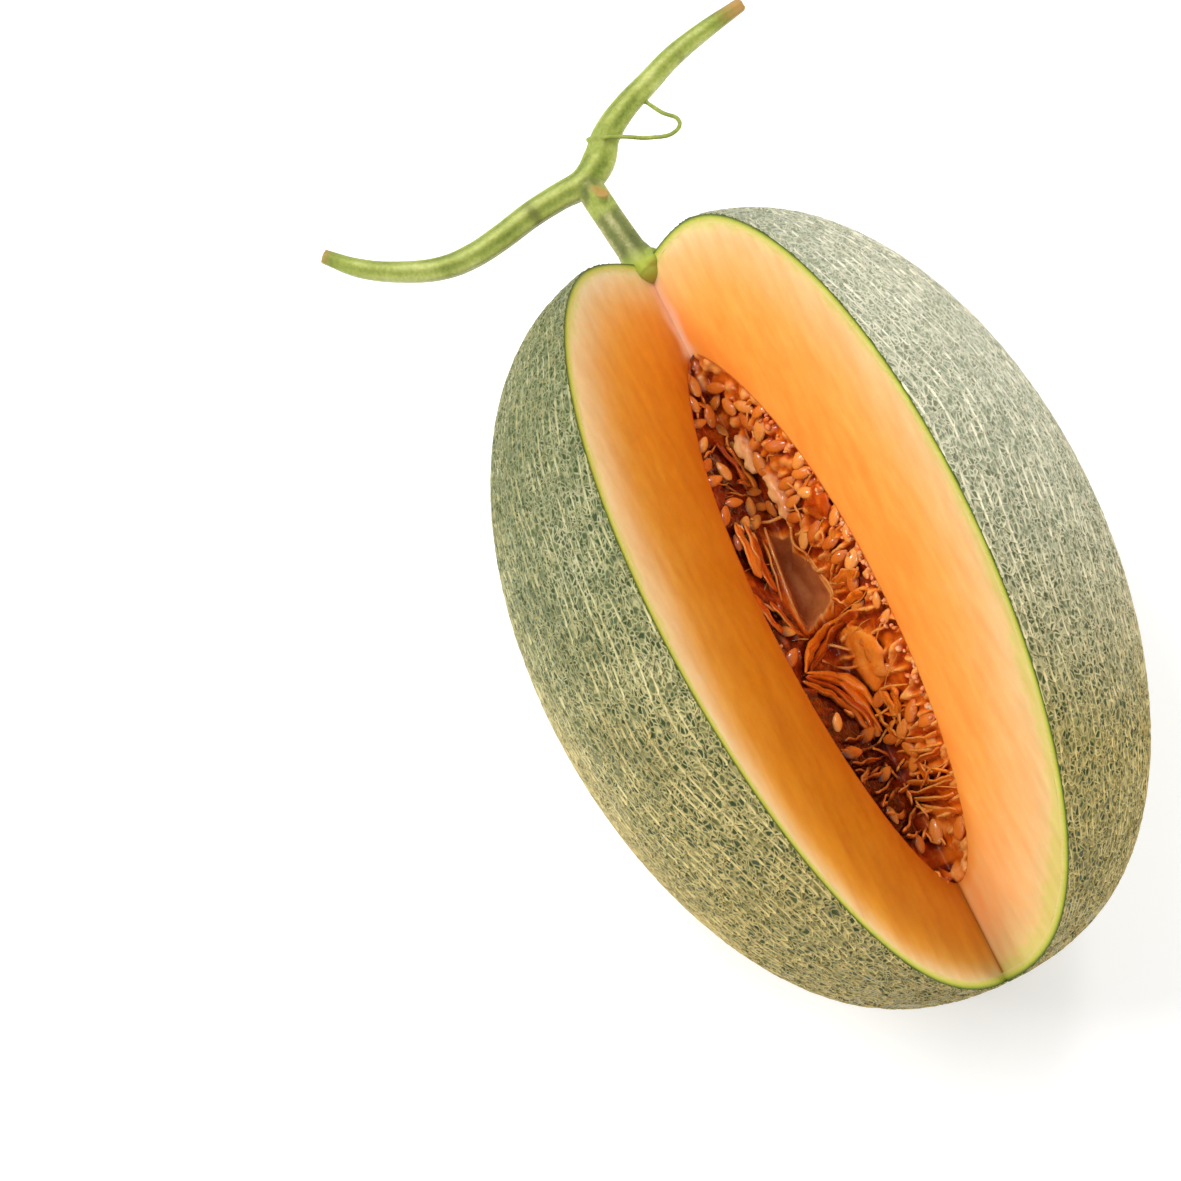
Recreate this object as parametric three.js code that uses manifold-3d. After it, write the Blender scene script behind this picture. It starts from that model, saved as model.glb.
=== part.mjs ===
// A netted melon with a wedge cut out of it, lying on its side with the notch upwards.
// Each piece is shaped in the melon's own frame, where +Z runs along its axis to the stem
// and the notch opens towards -Y, and the whole melon is then laid down on its rest spot.
import * as THREE from 'three';
import { ConvexHull } from 'three/addons/math/ConvexHull.js';
import { mergeVertices } from 'three/addons/utils/BufferGeometryUtils.js';
import Module from 'manifold-3d';

// Body: an egg-shaped solid of revolution, in millimetres.
const bodyRadius = 85;
const bodyHalfLength = 126;
const shoulderFullness = 0.038;
const endFullness = 0.027;
const stemEndFlattening = 8.4;
const stemEndSpread = 0.39;
const blossomEndFlattening = 5.6;
const blossomEndSpread = 0.48;
const bodySides = 40;
const bodyRings = 18;

// Rind and its raised net.
const rindThickness = 3;
const netCells = 510;
const netHeight = 1.4;
const netHalfWidth = 1.45;
const netJitter = 0.36;
const bareRoundStem = 0.13;
const fullNetFrom = 0.36;

// The gap between neighbouring pieces.
const gap = 0.3;

// The wedge that was cut out, and the seed cavity it opens.
const wedgeHalfAngle = THREE.MathUtils.degToRad(30.5);
const wedgeApexInset = 0.25;
const cavityRadius = 32;
const cavityHalfLength = 88;
const cavityCentre = -2.5;
const cavityShift = 2;
const cavityTopTaper = 1.5;
const cavityBottomTaper = 1.1;
const cavitySides = 26;
const cavityRings = 14;

// Seed pulp: a valley along the notch, a hollow in the middle, seeds and strands.
const valleyHalfWidth = 6;
const valleyDepth = 6;
const valleyRoundness = 3;
const pulpRipple = 1.1;
const hollowCentre = [0, 6, 12];
const hollowRadii = [7.5, 16, 17];
const seedLength = 9.5;
const seedWidth = 4.6;
const seedThickness = 2;
const seedProud = 0.5;
const seedSides = 5;
const seedsAlong = 13;
const seedsAcross = 3;
const seedSpan = 150;
const strandRadius = 0.9;

// Stem: the fruit's own stalk with the piece of vine it grew from.
const stemRibs = 5;
const stemRibDepth = 0.08;
const stalkRadius = 5;
const collarFlare = 3;
const vineRadius = 4.1;
const vineTipRadius = 2.2;
const stubRadius = 3;
const tendrilRadius = 0.75;
const stalkRoute = [[0, 0, 112], [-1.5, -1, 124], [-3, -2, 135], [-4.5, -3, 148]];
const vineRoute = [
  [-87.5, -10.5, 163.5], [-79, -8, 155.5], [-66.5, -5.5, 148.5], [-55.5, -4, 144.8], [-46.5, -3.5, 144.2],
  [-36.5, -3, 145.5], [-23.5, -3.5, 147.8], [-13.5, -3.5, 148.8], [-5, -3, 149.5], [2, -3, 153.5],
  [7.5, -4, 159.5], [16.5, -4.5, 165], [26, -4, 169], [36, -4, 173], [47, -3.5, 176], [63.5, -2, 179.5],
];
const stubRoute = [[-5, -2, 143], [-2.5, -5.5, 146], [-0.5, -9.5, 148.5]];
const tendrilRoute = [
  [22.5, -4, 165], [26, -3.5, 158.5], [29.5, -3.5, 153.5], [27, -4.5, 150.5], [19, -6.5, 151.5],
  [11.5, -8.5, 155], [5.5, -8.5, 158.5], [1.5, -5, 161],
];

// How the melon lies: its axis rises to the stem, and it is rolled a little about that axis.
const axisRise = THREE.MathUtils.degToRad(8.9);
const bodyRoll = THREE.MathUtils.degToRad(13.2);
const restSpotDepth = 1.6;

const colours = { rind: 0x7d8a5c, flesh: 0xf7a24a, seedPulp: 0xb5561f, stem: 0x93a552 };

const wasm = await Module();
wasm.setup();

// A repeatable random draw between 0 and 1.
let drawState = 20417;
function draw() {
  drawState = (Math.imul(drawState, 1664525) + 1013904223) >>> 0;
  return drawState / 4294967296;
}

function toSolid(geometry) {
  const bare = geometry.clone();
  bare.deleteAttribute('normal');
  bare.deleteAttribute('uv');
  const merged = mergeVertices(bare, 1e-4);
  const corners = [];
  const index = merged.index.array;
  for (let i = 0; i < index.length; i += 3) {
    const [a, b, c] = [index[i], index[i + 1], index[i + 2]];
    if (a !== b && b !== c && c !== a) corners.push(a, b, c);
  }
  return new wasm.Manifold(new wasm.Mesh({
    numProp: 3,
    vertProperties: new Float32Array(merged.attributes.position.array),
    triVerts: new Uint32Array(corners),
  }));
}

function toGeometry(solid) {
  const mesh = solid.getMesh();
  const geometry = new THREE.BufferGeometry();
  geometry.setAttribute('position', new THREE.BufferAttribute(new Float32Array(mesh.vertProperties), 3));
  geometry.setIndex(new THREE.BufferAttribute(new Uint32Array(mesh.triVerts), 1));
  geometry.computeVertexNormals();
  return geometry;
}

function largestBody(solid) {
  return solid.decompose().reduce((best, body) => (body.volume() > best.volume() ? body : best));
}

function reshape(geometry, move) {
  const place = geometry.attributes.position;
  const point = new THREE.Vector3();
  for (let i = 0; i < place.count; i++) {
    point.fromBufferAttribute(place, i);
    move(point);
    place.setXYZ(i, point.x, point.y, point.z);
  }
  return geometry;
}

// The body's outline: angle 0 is the stem end, PI the blossom end; lift moves along the normal.
function outlineAt(angle) {
  const c = Math.cos(angle);
  const radius = bodyRadius * Math.sin(angle) * (1 + shoulderFullness * c + endFullness * c * c);
  const stemDrop = stemEndFlattening * Math.exp(-((angle / stemEndSpread) ** 2));
  const blossomRaise = blossomEndFlattening * Math.exp(-(((Math.PI - angle) / blossomEndSpread) ** 2));
  return new THREE.Vector2(radius, bodyHalfLength * c - stemDrop + blossomRaise);
}

function liftedOutlineAt(angle, lift) {
  const step = 0.002;
  const along = outlineAt(angle + step).sub(outlineAt(angle - step)).normalize();
  const point = outlineAt(angle).add(new THREE.Vector2(-along.y, along.x).multiplyScalar(lift));
  if (angle === 0 || angle === Math.PI) point.x = 0;
  return point;
}

// A solid turned about the melon's axis from an outline that runs up from one end to the other.
function turned(outline, sides) {
  return toSolid(new THREE.LatheGeometry(outline, sides).rotateX(Math.PI / 2));
}

function bodySolid(lift) {
  const outline = [];
  for (let i = bodyRings; i >= 0; i--) outline.push(liftedOutlineAt((Math.PI * i) / bodyRings, lift));
  return turned(outline, bodySides);
}

function cavityRadiusAt(angle) {
  const taper = angle < Math.PI / 2 ? cavityTopTaper : cavityBottomTaper;
  return cavityRadius * Math.sin(angle) ** taper;
}

function cavitySolid(inset) {
  const outline = [];
  for (let i = cavityRings; i >= 0; i--) {
    const angle = (Math.PI * i) / cavityRings;
    const radius = i % cavityRings === 0 ? 0 : Math.max(cavityRadiusAt(angle) - inset, 0.2);
    outline.push(new THREE.Vector2(radius, cavityCentre + (cavityHalfLength - inset) * Math.cos(angle)));
  }
  return turned(outline, cavitySides).translate([cavityShift, 0, 0]);
}

// The notch: a prism whose edge runs along the melon's axis.
function notchSolid() {
  const reach = bodyRadius * 1.5;
  const side = reach * Math.tan(wedgeHalfAngle);
  const section = new THREE.Shape([
    new THREE.Vector2(0, -wedgeApexInset),
    new THREE.Vector2(-side, -wedgeApexInset - reach),
    new THREE.Vector2(side, -wedgeApexInset - reach),
  ]);
  const depth = bodyHalfLength * 3;
  const prism = new THREE.ExtrudeGeometry(section, { depth, bevelEnabled: false });
  return toSolid(prism.translate(0, 0, -depth / 2));
}

// The raised net: the cells between scattered points on a sphere, carried over to the body.
// Each cell is a shallow flat-bottomed dish, and the rims that neighbours share are the net's cords.
function netSolid() {
  const goldenTurn = Math.PI * (3 - Math.sqrt(5));
  const spacing = Math.sqrt((4 * Math.PI) / netCells);
  const sites = [];
  for (let i = 0; i < netCells; i++) {
    const height = 1 - (2 * (i + 0.5)) / netCells;
    const ring = Math.sqrt(1 - height * height);
    const site = new THREE.Vector3(ring * Math.cos(i * goldenTurn), ring * Math.sin(i * goldenTurn), height);
    const nudge = new THREE.Vector3(draw() - 0.5, draw() - 0.5, draw() - 0.5);
    sites.push(site.addScaledVector(nudge, 2 * netJitter * spacing).normalize());
  }
  const hull = new ConvexHull().setFromPoints(sites);
  const cells = new Map(sites.map((site) => [site, []]));
  const knots = hull.faces.map((face, number) => {
    for (let edge = face.edge, i = 0; i < 3; edge = edge.next, i++) {
      cells.get(edge.head().point).push(number);
    }
    return face.normal.clone().normalize();
  });

  const vertices = [];
  const corners = [];
  const addPoint = (direction, lift) => {
    const angle = Math.acos(THREE.MathUtils.clamp(direction.z, -1, 1));
    const around = Math.atan2(direction.y, direction.x);
    const point = liftedOutlineAt(angle, lift);
    vertices.push(point.x * Math.cos(around), point.x * Math.sin(around), point.y);
    return vertices.length / 3 - 1;
  };
  const rims = knots.map((knot) => {
    const fade = THREE.MathUtils.smoothstep(Math.acos(knot.z), bareRoundStem, fullNetFrom);
    return addPoint(knot, netHeight * fade * (0.8 + 0.4 * draw()));
  });
  const inset = netHalfWidth / bodyRadius;
  for (const [site, around] of cells) {
    const across = new THREE.Vector3(0, 0, 1).cross(site).normalize();
    const upward = site.clone().cross(across);
    const bearing = (number) => Math.atan2(knots[number].dot(upward), knots[number].dot(across));
    around.sort((a, b) => bearing(a) - bearing(b));
    const floor = around.map((number) => {
      const inward = site.clone().sub(knots[number]);
      const share = Math.min(0.45, (1.15 * inset) / inward.length());
      return addPoint(knots[number].clone().addScaledVector(inward, share).normalize(), 0);
    });
    for (let i = 0; i < around.length; i++) {
      const j = (i + 1) % around.length;
      corners.push(rims[around[i]], rims[around[j]], floor[i]);
      corners.push(rims[around[j]], floor[j], floor[i]);
      if (i > 0 && j > 0) corners.push(floor[0], floor[i], floor[j]);
    }
  }
  const geometry = new THREE.BufferGeometry();
  geometry.setAttribute('position', new THREE.Float32BufferAttribute(vertices, 3));
  geometry.setIndex(corners);
  return toSolid(geometry);
}

// A tapering limb along a route: a turned spindle whose rings are carried onto the curve.
function limb(route, radiusAt, sides, steps, ribDepth = 0) {
  const curve = new THREE.CatmullRomCurve3(route.map((point) => new THREE.Vector3(...point)));
  const frames = curve.computeFrenetFrames(steps);
  const outline = [new THREE.Vector2(0, 0)];
  for (let i = 0; i <= steps; i++) outline.push(new THREE.Vector2(radiusAt(i / steps), i));
  outline.push(new THREE.Vector2(0, steps));
  const spindle = new THREE.LatheGeometry(outline, sides);
  return toSolid(reshape(spindle, (point) => {
    const i = Math.round(point.y);
    const ridge = 1 + ribDepth * Math.cos(stemRibs * Math.atan2(point.z, point.x));
    const { x, z } = point;
    point.copy(curve.getPointAt(i / steps));
    point.addScaledVector(frames.binormals[i], x * ridge).addScaledVector(frames.normals[i], z * ridge);
  }));
}

function join(solids) {
  return solids.reduce((sum, solid) => sum.add(solid));
}

// The valley's half-width at a distance out from the axis towards the notch.
function valleyHalfWidthAt(side, out, along) {
  const end = Math.sqrt(Math.max(0.04, 1 - ((along - cavityCentre) / cavityHalfLength) ** 2));
  const bottom = valleyHalfWidth * end;
  const slow = Math.sin(0.42 * along + 2.2 * side + 0.3 * out) * Math.cos(0.35 * out - 0.23 * along);
  const quick = Math.sin(0.93 * along - 0.8 * out + side);
  const ripple = pulpRipple * (slow + 0.6 * quick);
  if (out < 0) return bottom * Math.sqrt(1 - (out / (valleyDepth + 1)) ** 2) + 0.5 * ripple * end;
  return Math.hypot(out * Math.tan(wedgeHalfAngle), bottom) + ripple * Math.max(0.5, Math.min(1, out / 5));
}

function valleySolid() {
  const reach = cavityRadius + 8;
  const block = new THREE.BoxGeometry(2, 1, cavityHalfLength * 2.1, 4, 6, 26);
  return toSolid(reshape(block, (point) => {
    const across = point.x;
    const along = point.z + cavityCentre;
    const out = (0.5 - point.y) * (reach + valleyDepth) - valleyDepth;
    const sunk = point.y > 0.49 ? valleyRoundness * (1 - across * across) * (1 + 0.6 * Math.sin(0.55 * along)) : 0;
    point.set(across * valleyHalfWidthAt(Math.sign(across), out, along), sunk - out, along);
  }));
}

function seedSolid(place, pointing, flatTo) {
  const seed = new THREE.SphereGeometry(1, seedSides, 3);
  reshape(seed, (point) => {
    const blunt = 1 + 0.28 * point.y;
    point.set(point.x * blunt * seedWidth / 2, point.y * seedLength / 2, point.z * blunt * seedThickness / 2);
  });
  const length = pointing.clone().normalize();
  const thickness = flatTo.clone().addScaledVector(length, -flatTo.dot(length)).normalize();
  const width = length.clone().cross(thickness);
  seed.applyMatrix4(new THREE.Matrix4().makeBasis(width, length, thickness).setPosition(place));
  return toSolid(seed);
}

// Seeds sunk part way into both sides of the valley, in jittered rows.
function seedSolids() {
  const seeds = [];
  for (const side of [-1, 1]) {
    const facing = new THREE.Vector3(-side * Math.cos(wedgeHalfAngle), -Math.sin(wedgeHalfAngle), 0);
    for (let i = 0; i < seedsAlong; i++) {
      for (let k = 0; k < seedsAcross; k++) {
        const along = cavityCentre + seedSpan * ((i + 0.2 + 0.6 * draw()) / seedsAlong - 0.5);
        const angle = Math.acos((along - cavityCentre) / cavityHalfLength);
        const rim = cavityRadiusAt(angle) * Math.cos(wedgeHalfAngle);
        const out = rim * (0.15 + 0.78 * ((k + 0.2 + 0.6 * draw()) / seedsAcross));
        const place = new THREE.Vector3(side * valleyHalfWidthAt(side, out, along), -out, along);
        place.addScaledVector(facing, seedProud);
        const pointing = new THREE.Vector3(draw() - 0.5, draw() - 0.5, draw() - 0.5);
        pointing.addScaledVector(facing, -pointing.dot(facing)).normalize();
        pointing.addScaledVector(facing, 0.7 * (draw() - 0.5));
        seeds.push(seedSolid(place, pointing, facing));
      }
    }
  }
  return seeds;
}

// Pulp fibres that cross the valley.
function strandSolids() {
  const spans = [[-9, 10, 5, -14, 14], [-26, 14, 8, -20, 9], [-38, 8, 14, -44, 16], [44, 12, 8, 38, 13], [-54, 12, 12, -58, 9]];
  return spans.map(([from, outFrom, sag, to, outTo]) => {
    const start = [-valleyHalfWidthAt(-1, outFrom, from) - 2, -outFrom, from];
    const end = [valleyHalfWidthAt(1, outTo, to) + 2, -outTo, to];
    const middle = [0, -(outFrom + outTo) / 2 + sag * 0.4, (from + to) / 2];
    return limb([start, middle, end], () => strandRadius, 5, 6);
  });
}

function makeRind(notch, floorBlock) {
  return netSolid().subtract(bodySolid(-rindThickness)).subtract(notch).subtract(floorBlock);
}

function makeFlesh(notch) {
  return bodySolid(-rindThickness - gap).subtract(cavitySolid(0)).subtract(notch);
}

function makeSeedPulp() {
  const hollow = new THREE.SphereGeometry(1, 10, 8).scale(...hollowRadii).translate(...hollowCentre);
  const lining = cavitySolid(gap * 1.5).subtract(valleySolid()).subtract(toSolid(hollow));
  return largestBody(join([lining, ...seedSolids(), ...strandSolids()]).intersect(cavitySolid(gap * 1.5)));
}

function makeStem() {
  const stalk = limb(stalkRoute, (t) => stalkRadius + collarFlare * Math.exp(-((t / 0.2) ** 2)), 15, 10, stemRibDepth);
  const vine = limb(vineRoute, (t) => {
    const swelling = 1.1 * Math.exp(-(((t - 0.6) / 0.07) ** 2));
    return vineTipRadius + (vineRadius - vineTipRadius) * Math.sin(Math.PI * t) ** 0.6 + swelling;
  }, 10, 30, stemRibDepth);
  const stub = limb(stubRoute, (t) => stubRadius - 0.6 * t, 8, 3);
  const tendril = limb(tendrilRoute, () => tendrilRadius, 5, 18);
  return largestBody(join([stalk, vine, stub, tendril]).subtract(bodySolid(gap)));
}

// The turn and shift that lay the melon down with its rest spot's middle at the origin.
function lyingPose() {
  const pose = new THREE.Matrix4().makeRotationX(axisRise - Math.PI / 2);
  pose.multiply(new THREE.Matrix4().makeRotationZ(-bodyRoll));
  const lowest = new THREE.Vector3(0, 0, Infinity);
  for (let angle = 0; angle < Math.PI; angle += 0.001) {
    const outline = outlineAt(angle);
    const under = new THREE.Vector3(-Math.sin(bodyRoll) * outline.x, Math.cos(bodyRoll) * outline.x, outline.y);
    under.applyMatrix4(pose);
    if (under.z < lowest.z) lowest.copy(under);
  }
  return pose.premultiply(new THREE.Matrix4().makeTranslation(-lowest.x, -lowest.y, -lowest.z - restSpotDepth));
}

const pose = lyingPose();
const notch = notchSolid();
const floorBlock = new THREE.BoxGeometry(400, 400, 40).translate(0, 0, -20).applyMatrix4(pose.clone().invert());
const melon = new THREE.Group();

function addPiece(name, solid, color, roughness) {
  const piece = new THREE.Mesh(toGeometry(solid), new THREE.MeshStandardMaterial({ color, roughness, metalness: 0 }));
  piece.name = name;
  melon.add(piece);
}

addPiece('rind', makeRind(notch, toSolid(floorBlock)), colours.rind, 0.75);
addPiece('flesh', makeFlesh(notch), colours.flesh, 0.4);
addPiece('seed_pulp', makeSeedPulp(), colours.seedPulp, 0.25);
addPiece('stem', makeStem(), colours.stem, 0.65);
melon.applyMatrix4(pose);

export default melon;
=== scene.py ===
import math
import random

import bpy
import numpy as np
from mathutils import Euler, Matrix, Vector, noise
from mathutils.bvhtree import BVHTree
from mathutils.kdtree import KDTree


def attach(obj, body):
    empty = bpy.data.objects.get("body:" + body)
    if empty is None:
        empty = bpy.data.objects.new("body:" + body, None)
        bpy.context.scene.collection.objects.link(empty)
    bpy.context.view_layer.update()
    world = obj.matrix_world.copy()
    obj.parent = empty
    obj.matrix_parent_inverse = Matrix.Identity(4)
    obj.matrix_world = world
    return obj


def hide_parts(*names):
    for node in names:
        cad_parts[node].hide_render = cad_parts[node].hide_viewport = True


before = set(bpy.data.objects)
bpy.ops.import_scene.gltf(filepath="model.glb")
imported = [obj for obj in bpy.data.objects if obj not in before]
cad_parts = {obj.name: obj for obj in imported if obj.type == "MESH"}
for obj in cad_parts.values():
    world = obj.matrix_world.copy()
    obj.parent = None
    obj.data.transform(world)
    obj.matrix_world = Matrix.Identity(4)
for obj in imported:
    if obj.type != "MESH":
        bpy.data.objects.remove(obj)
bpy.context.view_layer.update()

# Lengths are in metres. Each piece is made in the melon's own frame, with the axis along +Z to
# the stem and the notch open towards -Y, and is then laid down on its side.
melon = {
    "radius": 0.085,
    "halfLength": 0.126,
    "shoulder": 0.038,
    "endFullness": 0.027,
    "stemFlat": 0.0084,
    "stemSpread": 0.39,
    "blossomFlat": 0.0056,
    "blossomSpread": 0.48,
    "notchHalfAngle": math.radians(30.5),
    "notchInset": 0.00025,
    # how far the cutting tool reaches past the melon, as shares of its radius and half-length
    "toolReach": 1.6,
    "toolLength": 1.4,
    "axisRise": math.radians(8.9),
    "roll": math.radians(13.2),
    "restDepth": 0.0016,
    "skinDepth": 0.0026,
}

cavity = {
    "radius": 0.032,
    "halfLength": 0.088,
    "centre": -0.0025,
    "shift": 0.002,
    "topTaper": 1.5,
    "bottomTaper": 1.1,
}


def outlineAt(angle, lift=0.0):
    # radius and height of the body's outline, with angle 0 at the stem end and pi at the blossom end
    def line(a):
        c = np.cos(a)
        r = melon["radius"] * np.sin(a) * (1 + melon["shoulder"] * c + melon["endFullness"] * c * c)
        drop = melon["stemFlat"] * np.exp(-((a / melon["stemSpread"]) ** 2))
        rise = melon["blossomFlat"] * np.exp(-(((math.pi - a) / melon["blossomSpread"]) ** 2))
        return r, melon["halfLength"] * c - drop + rise

    r, z = line(angle)
    ra, za = line(angle - 0.002)
    rb, zb = line(angle + 0.002)
    length = np.hypot(rb - ra, zb - za)
    return r - lift * (zb - za) / length, z + lift * (rb - ra) / length


def cavityAt(angle, inset=0.0):
    taper = np.where(angle < math.pi / 2, cavity["topTaper"], cavity["bottomTaper"])
    sine = np.clip(np.sin(angle), 0, 1)
    r = np.maximum(cavity["radius"] * sine ** taper - inset, 0)
    return r, cavity["centre"] + (cavity["halfLength"] - inset) * np.cos(angle)


def readPoints(obj, what="co"):
    flat = np.empty(len(obj.data.vertices) * 3)
    obj.data.vertices.foreach_get(what, flat)
    return flat.reshape(-1, 3)


def writePoints(obj, points):
    obj.data.vertices.foreach_set("co", np.ascontiguousarray(points, float).ravel())
    obj.data.update()


def writeAttribute(obj, name, values):
    old = obj.data.attributes.get(name)
    if old:
        obj.data.attributes.remove(old)
    attribute = obj.data.attributes.new(name, "FLOAT", "POINT")
    attribute.data.foreach_set("value", np.asarray(values, np.float32))


def partsOf(count, size=20000):
    # slices of a long list, which keep the tables of distances small
    return [slice(start, start + size) for start in range(0, count, size)]


def liftOf(points):
    # signed distance of points from the outline, above zero outside it
    angles = np.linspace(0, math.pi, 601)
    r, z = outlineAt(angles)
    outR, outZ = outlineAt(angles, 1.0)
    outR, outZ = outR - r, outZ - z
    radial = np.hypot(points[:, 0], points[:, 1])
    result = np.empty(len(points))
    for part in partsOf(len(points)):
        gapR = radial[part, None] - r
        gapZ = points[part, 2, None] - z
        nearest = (gapR ** 2 + gapZ ** 2).argmin(1)
        rows = np.arange(len(nearest))
        result[part] = gapR[rows, nearest] * outR[nearest] + gapZ[rows, nearest] * outZ[nearest]
    return result


def restPose():
    lean = Euler((melon["axisRise"] - math.pi / 2, 0, 0)).to_matrix()
    turn = lean @ Euler((0, 0, -melon["roll"])).to_matrix()
    r, z = outlineAt(np.linspace(0, math.pi, 3001))
    low = np.array(turn)[2]
    around = math.atan2(low[1], low[0])
    under = np.stack([-math.cos(around) * r, -math.sin(around) * r, z], 1) @ np.array(turn).T
    lowest = under[under[:, 2].argmin()]
    shift = Matrix.Translation((-lowest[0], -lowest[1], -lowest[2] - melon["restDepth"]))
    return shift @ turn.to_4x4()


pose = restPose()


def ballAngles(points):
    # for points on a ball: the angle from the stem end and the turn about the axis
    return np.arccos(np.clip(points[:, 2], -1, 1)), np.arctan2(points[:, 1], points[:, 0])


def roundAxis(r, around, z, shift=0.0):
    return np.stack([r * np.cos(around) + shift, r * np.sin(around), z], 1)


def endEdit():
    bpy.ops.object.mode_set(mode="OBJECT")


def clearSelection():
    if bpy.context.object and bpy.context.object.mode != "OBJECT":
        endEdit()
    bpy.ops.object.select_all(action="DESELECT")


def pick(*objs):
    clearSelection()
    for obj in objs:
        obj.select_set(True)
    bpy.context.view_layer.objects.active = objs[0]


def startEdit(obj, action="DESELECT", mode="VERT"):
    pick(obj)
    bpy.ops.object.mode_set(mode="EDIT")
    bpy.ops.mesh.select_mode(type=mode)
    bpy.ops.mesh.select_all(action=action)


def selectWhere(obj, mask, mode="VERT"):
    # leaves the object in edit mode with the masked points, edges or faces selected
    startEdit(obj, "DESELECT", mode)
    endEdit()
    parts = {"VERT": obj.data.vertices, "EDGE": obj.data.edges, "FACE": obj.data.polygons}[mode]
    parts.foreach_set("select", np.asarray(mask, bool))
    bpy.ops.object.mode_set(mode="EDIT")


def applyModifier(obj, kind, **settings):
    pick(obj)
    modifier = obj.modifiers.new(kind.lower(), kind)
    for name, value in settings.items():
        setattr(modifier, name, value)
    bpy.ops.object.modifier_apply(modifier=modifier.name)


def cutBy(obj, tool, keepTool=False, operation="DIFFERENCE"):
    applyModifier(obj, "BOOLEAN", operation=operation, object=tool, solver="MANIFOLD")
    if not keepTool:
        bpy.data.objects.remove(tool)


def joinInto(objs, name):
    pick(*objs)
    if len(objs) > 1:
        bpy.ops.object.join()
    joined = bpy.context.object
    joined.name = name
    joined.data.name = name
    return joined


def layDown(obj):
    pick(obj)
    obj.matrix_world = pose
    bpy.ops.object.transform_apply(location=True, rotation=True, scale=True)


def smoothShade(obj, angle=180):
    pick(obj)
    if angle < 180:
        bpy.ops.object.shade_smooth_by_angle(angle=math.radians(angle))
    else:
        bpy.ops.object.shade_smooth()


def finishPiece(obj, material, node=None):
    obj.data.materials.clear()
    obj.data.materials.append(material)
    layDown(obj)
    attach(obj, "root")
    if node:
        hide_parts(node)


def colour(red, green, blue):
    # a colour given in display values from 0 to 255
    def plain(v):
        v = v / 255
        return v / 12.92 if v <= 0.04045 else ((v + 0.055) / 1.055) ** 2.4
    return (plain(red), plain(green), plain(blue), 1.0)


def feed(tree, socket, value):
    # value is another socket, a number or a colour
    if isinstance(value, bpy.types.NodeSocket):
        tree.links.new(value, socket)
    else:
        socket.default_value = value


def put(tree, kind, x, y, values=None, **settings):
    # adds a node at a place, with its settings and what its inputs are fed with
    node = tree.nodes.new(kind)
    node.location = (x, y)
    for name, value in settings.items():
        setattr(node, name, value)
    for name, value in (values or {}).items():
        feed(tree, node.inputs[name], value)
    return node


def newMaterial(name):
    material = bpy.data.materials.new(name)
    material.use_nodes = True
    tree = material.node_tree
    tree.nodes.clear()
    out = put(tree, "ShaderNodeOutputMaterial", 900, 0)
    shader = put(tree, "ShaderNodeBsdfPrincipled", 600, 0)
    tree.links.new(shader.outputs["BSDF"], out.inputs["Surface"])
    coords = put(tree, "ShaderNodeTexCoord", -1500, 0)
    place = put(tree, "ShaderNodeMapping", -1300, 0, {
        "Vector": coords.outputs["Object"],
        "Location": pose.to_translation(),
        "Rotation": pose.to_euler(),
    }, vector_type="TEXTURE")
    return material, tree, shader, place.outputs["Vector"]


def spanned(tree, x, y, value, low, high, bottom=0.0, top=1.0):
    # stretches a value from low..high to bottom..top
    fed = {"Value": value, "From Min": low, "From Max": high, "To Min": bottom, "To Max": top}
    return put(tree, "ShaderNodeMapRange", x, y, fed).outputs["Result"]


def ramped(tree, x, y, factor, stops):
    # a colour looked up along stops of place and display colour
    node = put(tree, "ShaderNodeValToRGB", x, y, {"Fac": factor})
    line = node.color_ramp
    line.elements.remove(line.elements[-1])
    line.elements[0].position = stops[0][0]
    line.elements[0].color = colour(*stops[0][1])
    for place, shade in stops[1:]:
        line.elements.new(place).color = colour(*shade)
    return node.outputs["Color"]


def blended(tree, x, y, share, first, second):
    fed = {"Factor": share, "A": first, "B": second}
    return put(tree, "ShaderNodeMix", x, y, fed).outputs["Result"]


def drawnOut(tree, x, y, place, along):
    # places that make a texture longer along the melon
    fed = {"Vector": place, "Scale": (1.0, 1.0, along)}
    return put(tree, "ShaderNodeMapping", x, y, fed).outputs["Vector"]


def noiseAt(tree, x, y, place, scale, detail=2.0):
    fed = {"Vector": place, "Scale": scale, "Detail": detail}
    return put(tree, "ShaderNodeTexNoise", x, y, fed).outputs


def readMark(tree, name, low, high, x, y):
    # an attribute of the mesh, stretched from low..high to 0..1
    mark = put(tree, "ShaderNodeAttribute", x, y, attribute_name=name)
    return spanned(tree, x + 180, y, mark.outputs["Fac"], low, high)


def dressShader(tree, shader, looks, bump=None):
    # values of the surface, and a bump given as its height, strength and distance
    for name, value in looks.items():
        feed(tree, shader.inputs[name], value)
    if bump:
        node = put(tree, "ShaderNodeBump", 300, -300, dict(zip(("Height", "Strength", "Distance"), bump)))
        tree.links.new(node.outputs["Normal"], shader.inputs["Normal"])


def makeGroup(name, inputs, outputs):
    tree = bpy.data.node_groups.new(name, "ShaderNodeTree")
    for label, kind, value in inputs:
        socket = tree.interface.new_socket(label, in_out="INPUT", socket_type=kind)
        if value is not None:
            socket.default_value = value
    for label, kind in outputs:
        tree.interface.new_socket(label, in_out="OUTPUT", socket_type=kind)
    return tree, put(tree, "NodeGroupInput", -800, 0), put(tree, "NodeGroupOutput", 600, 0)


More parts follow.
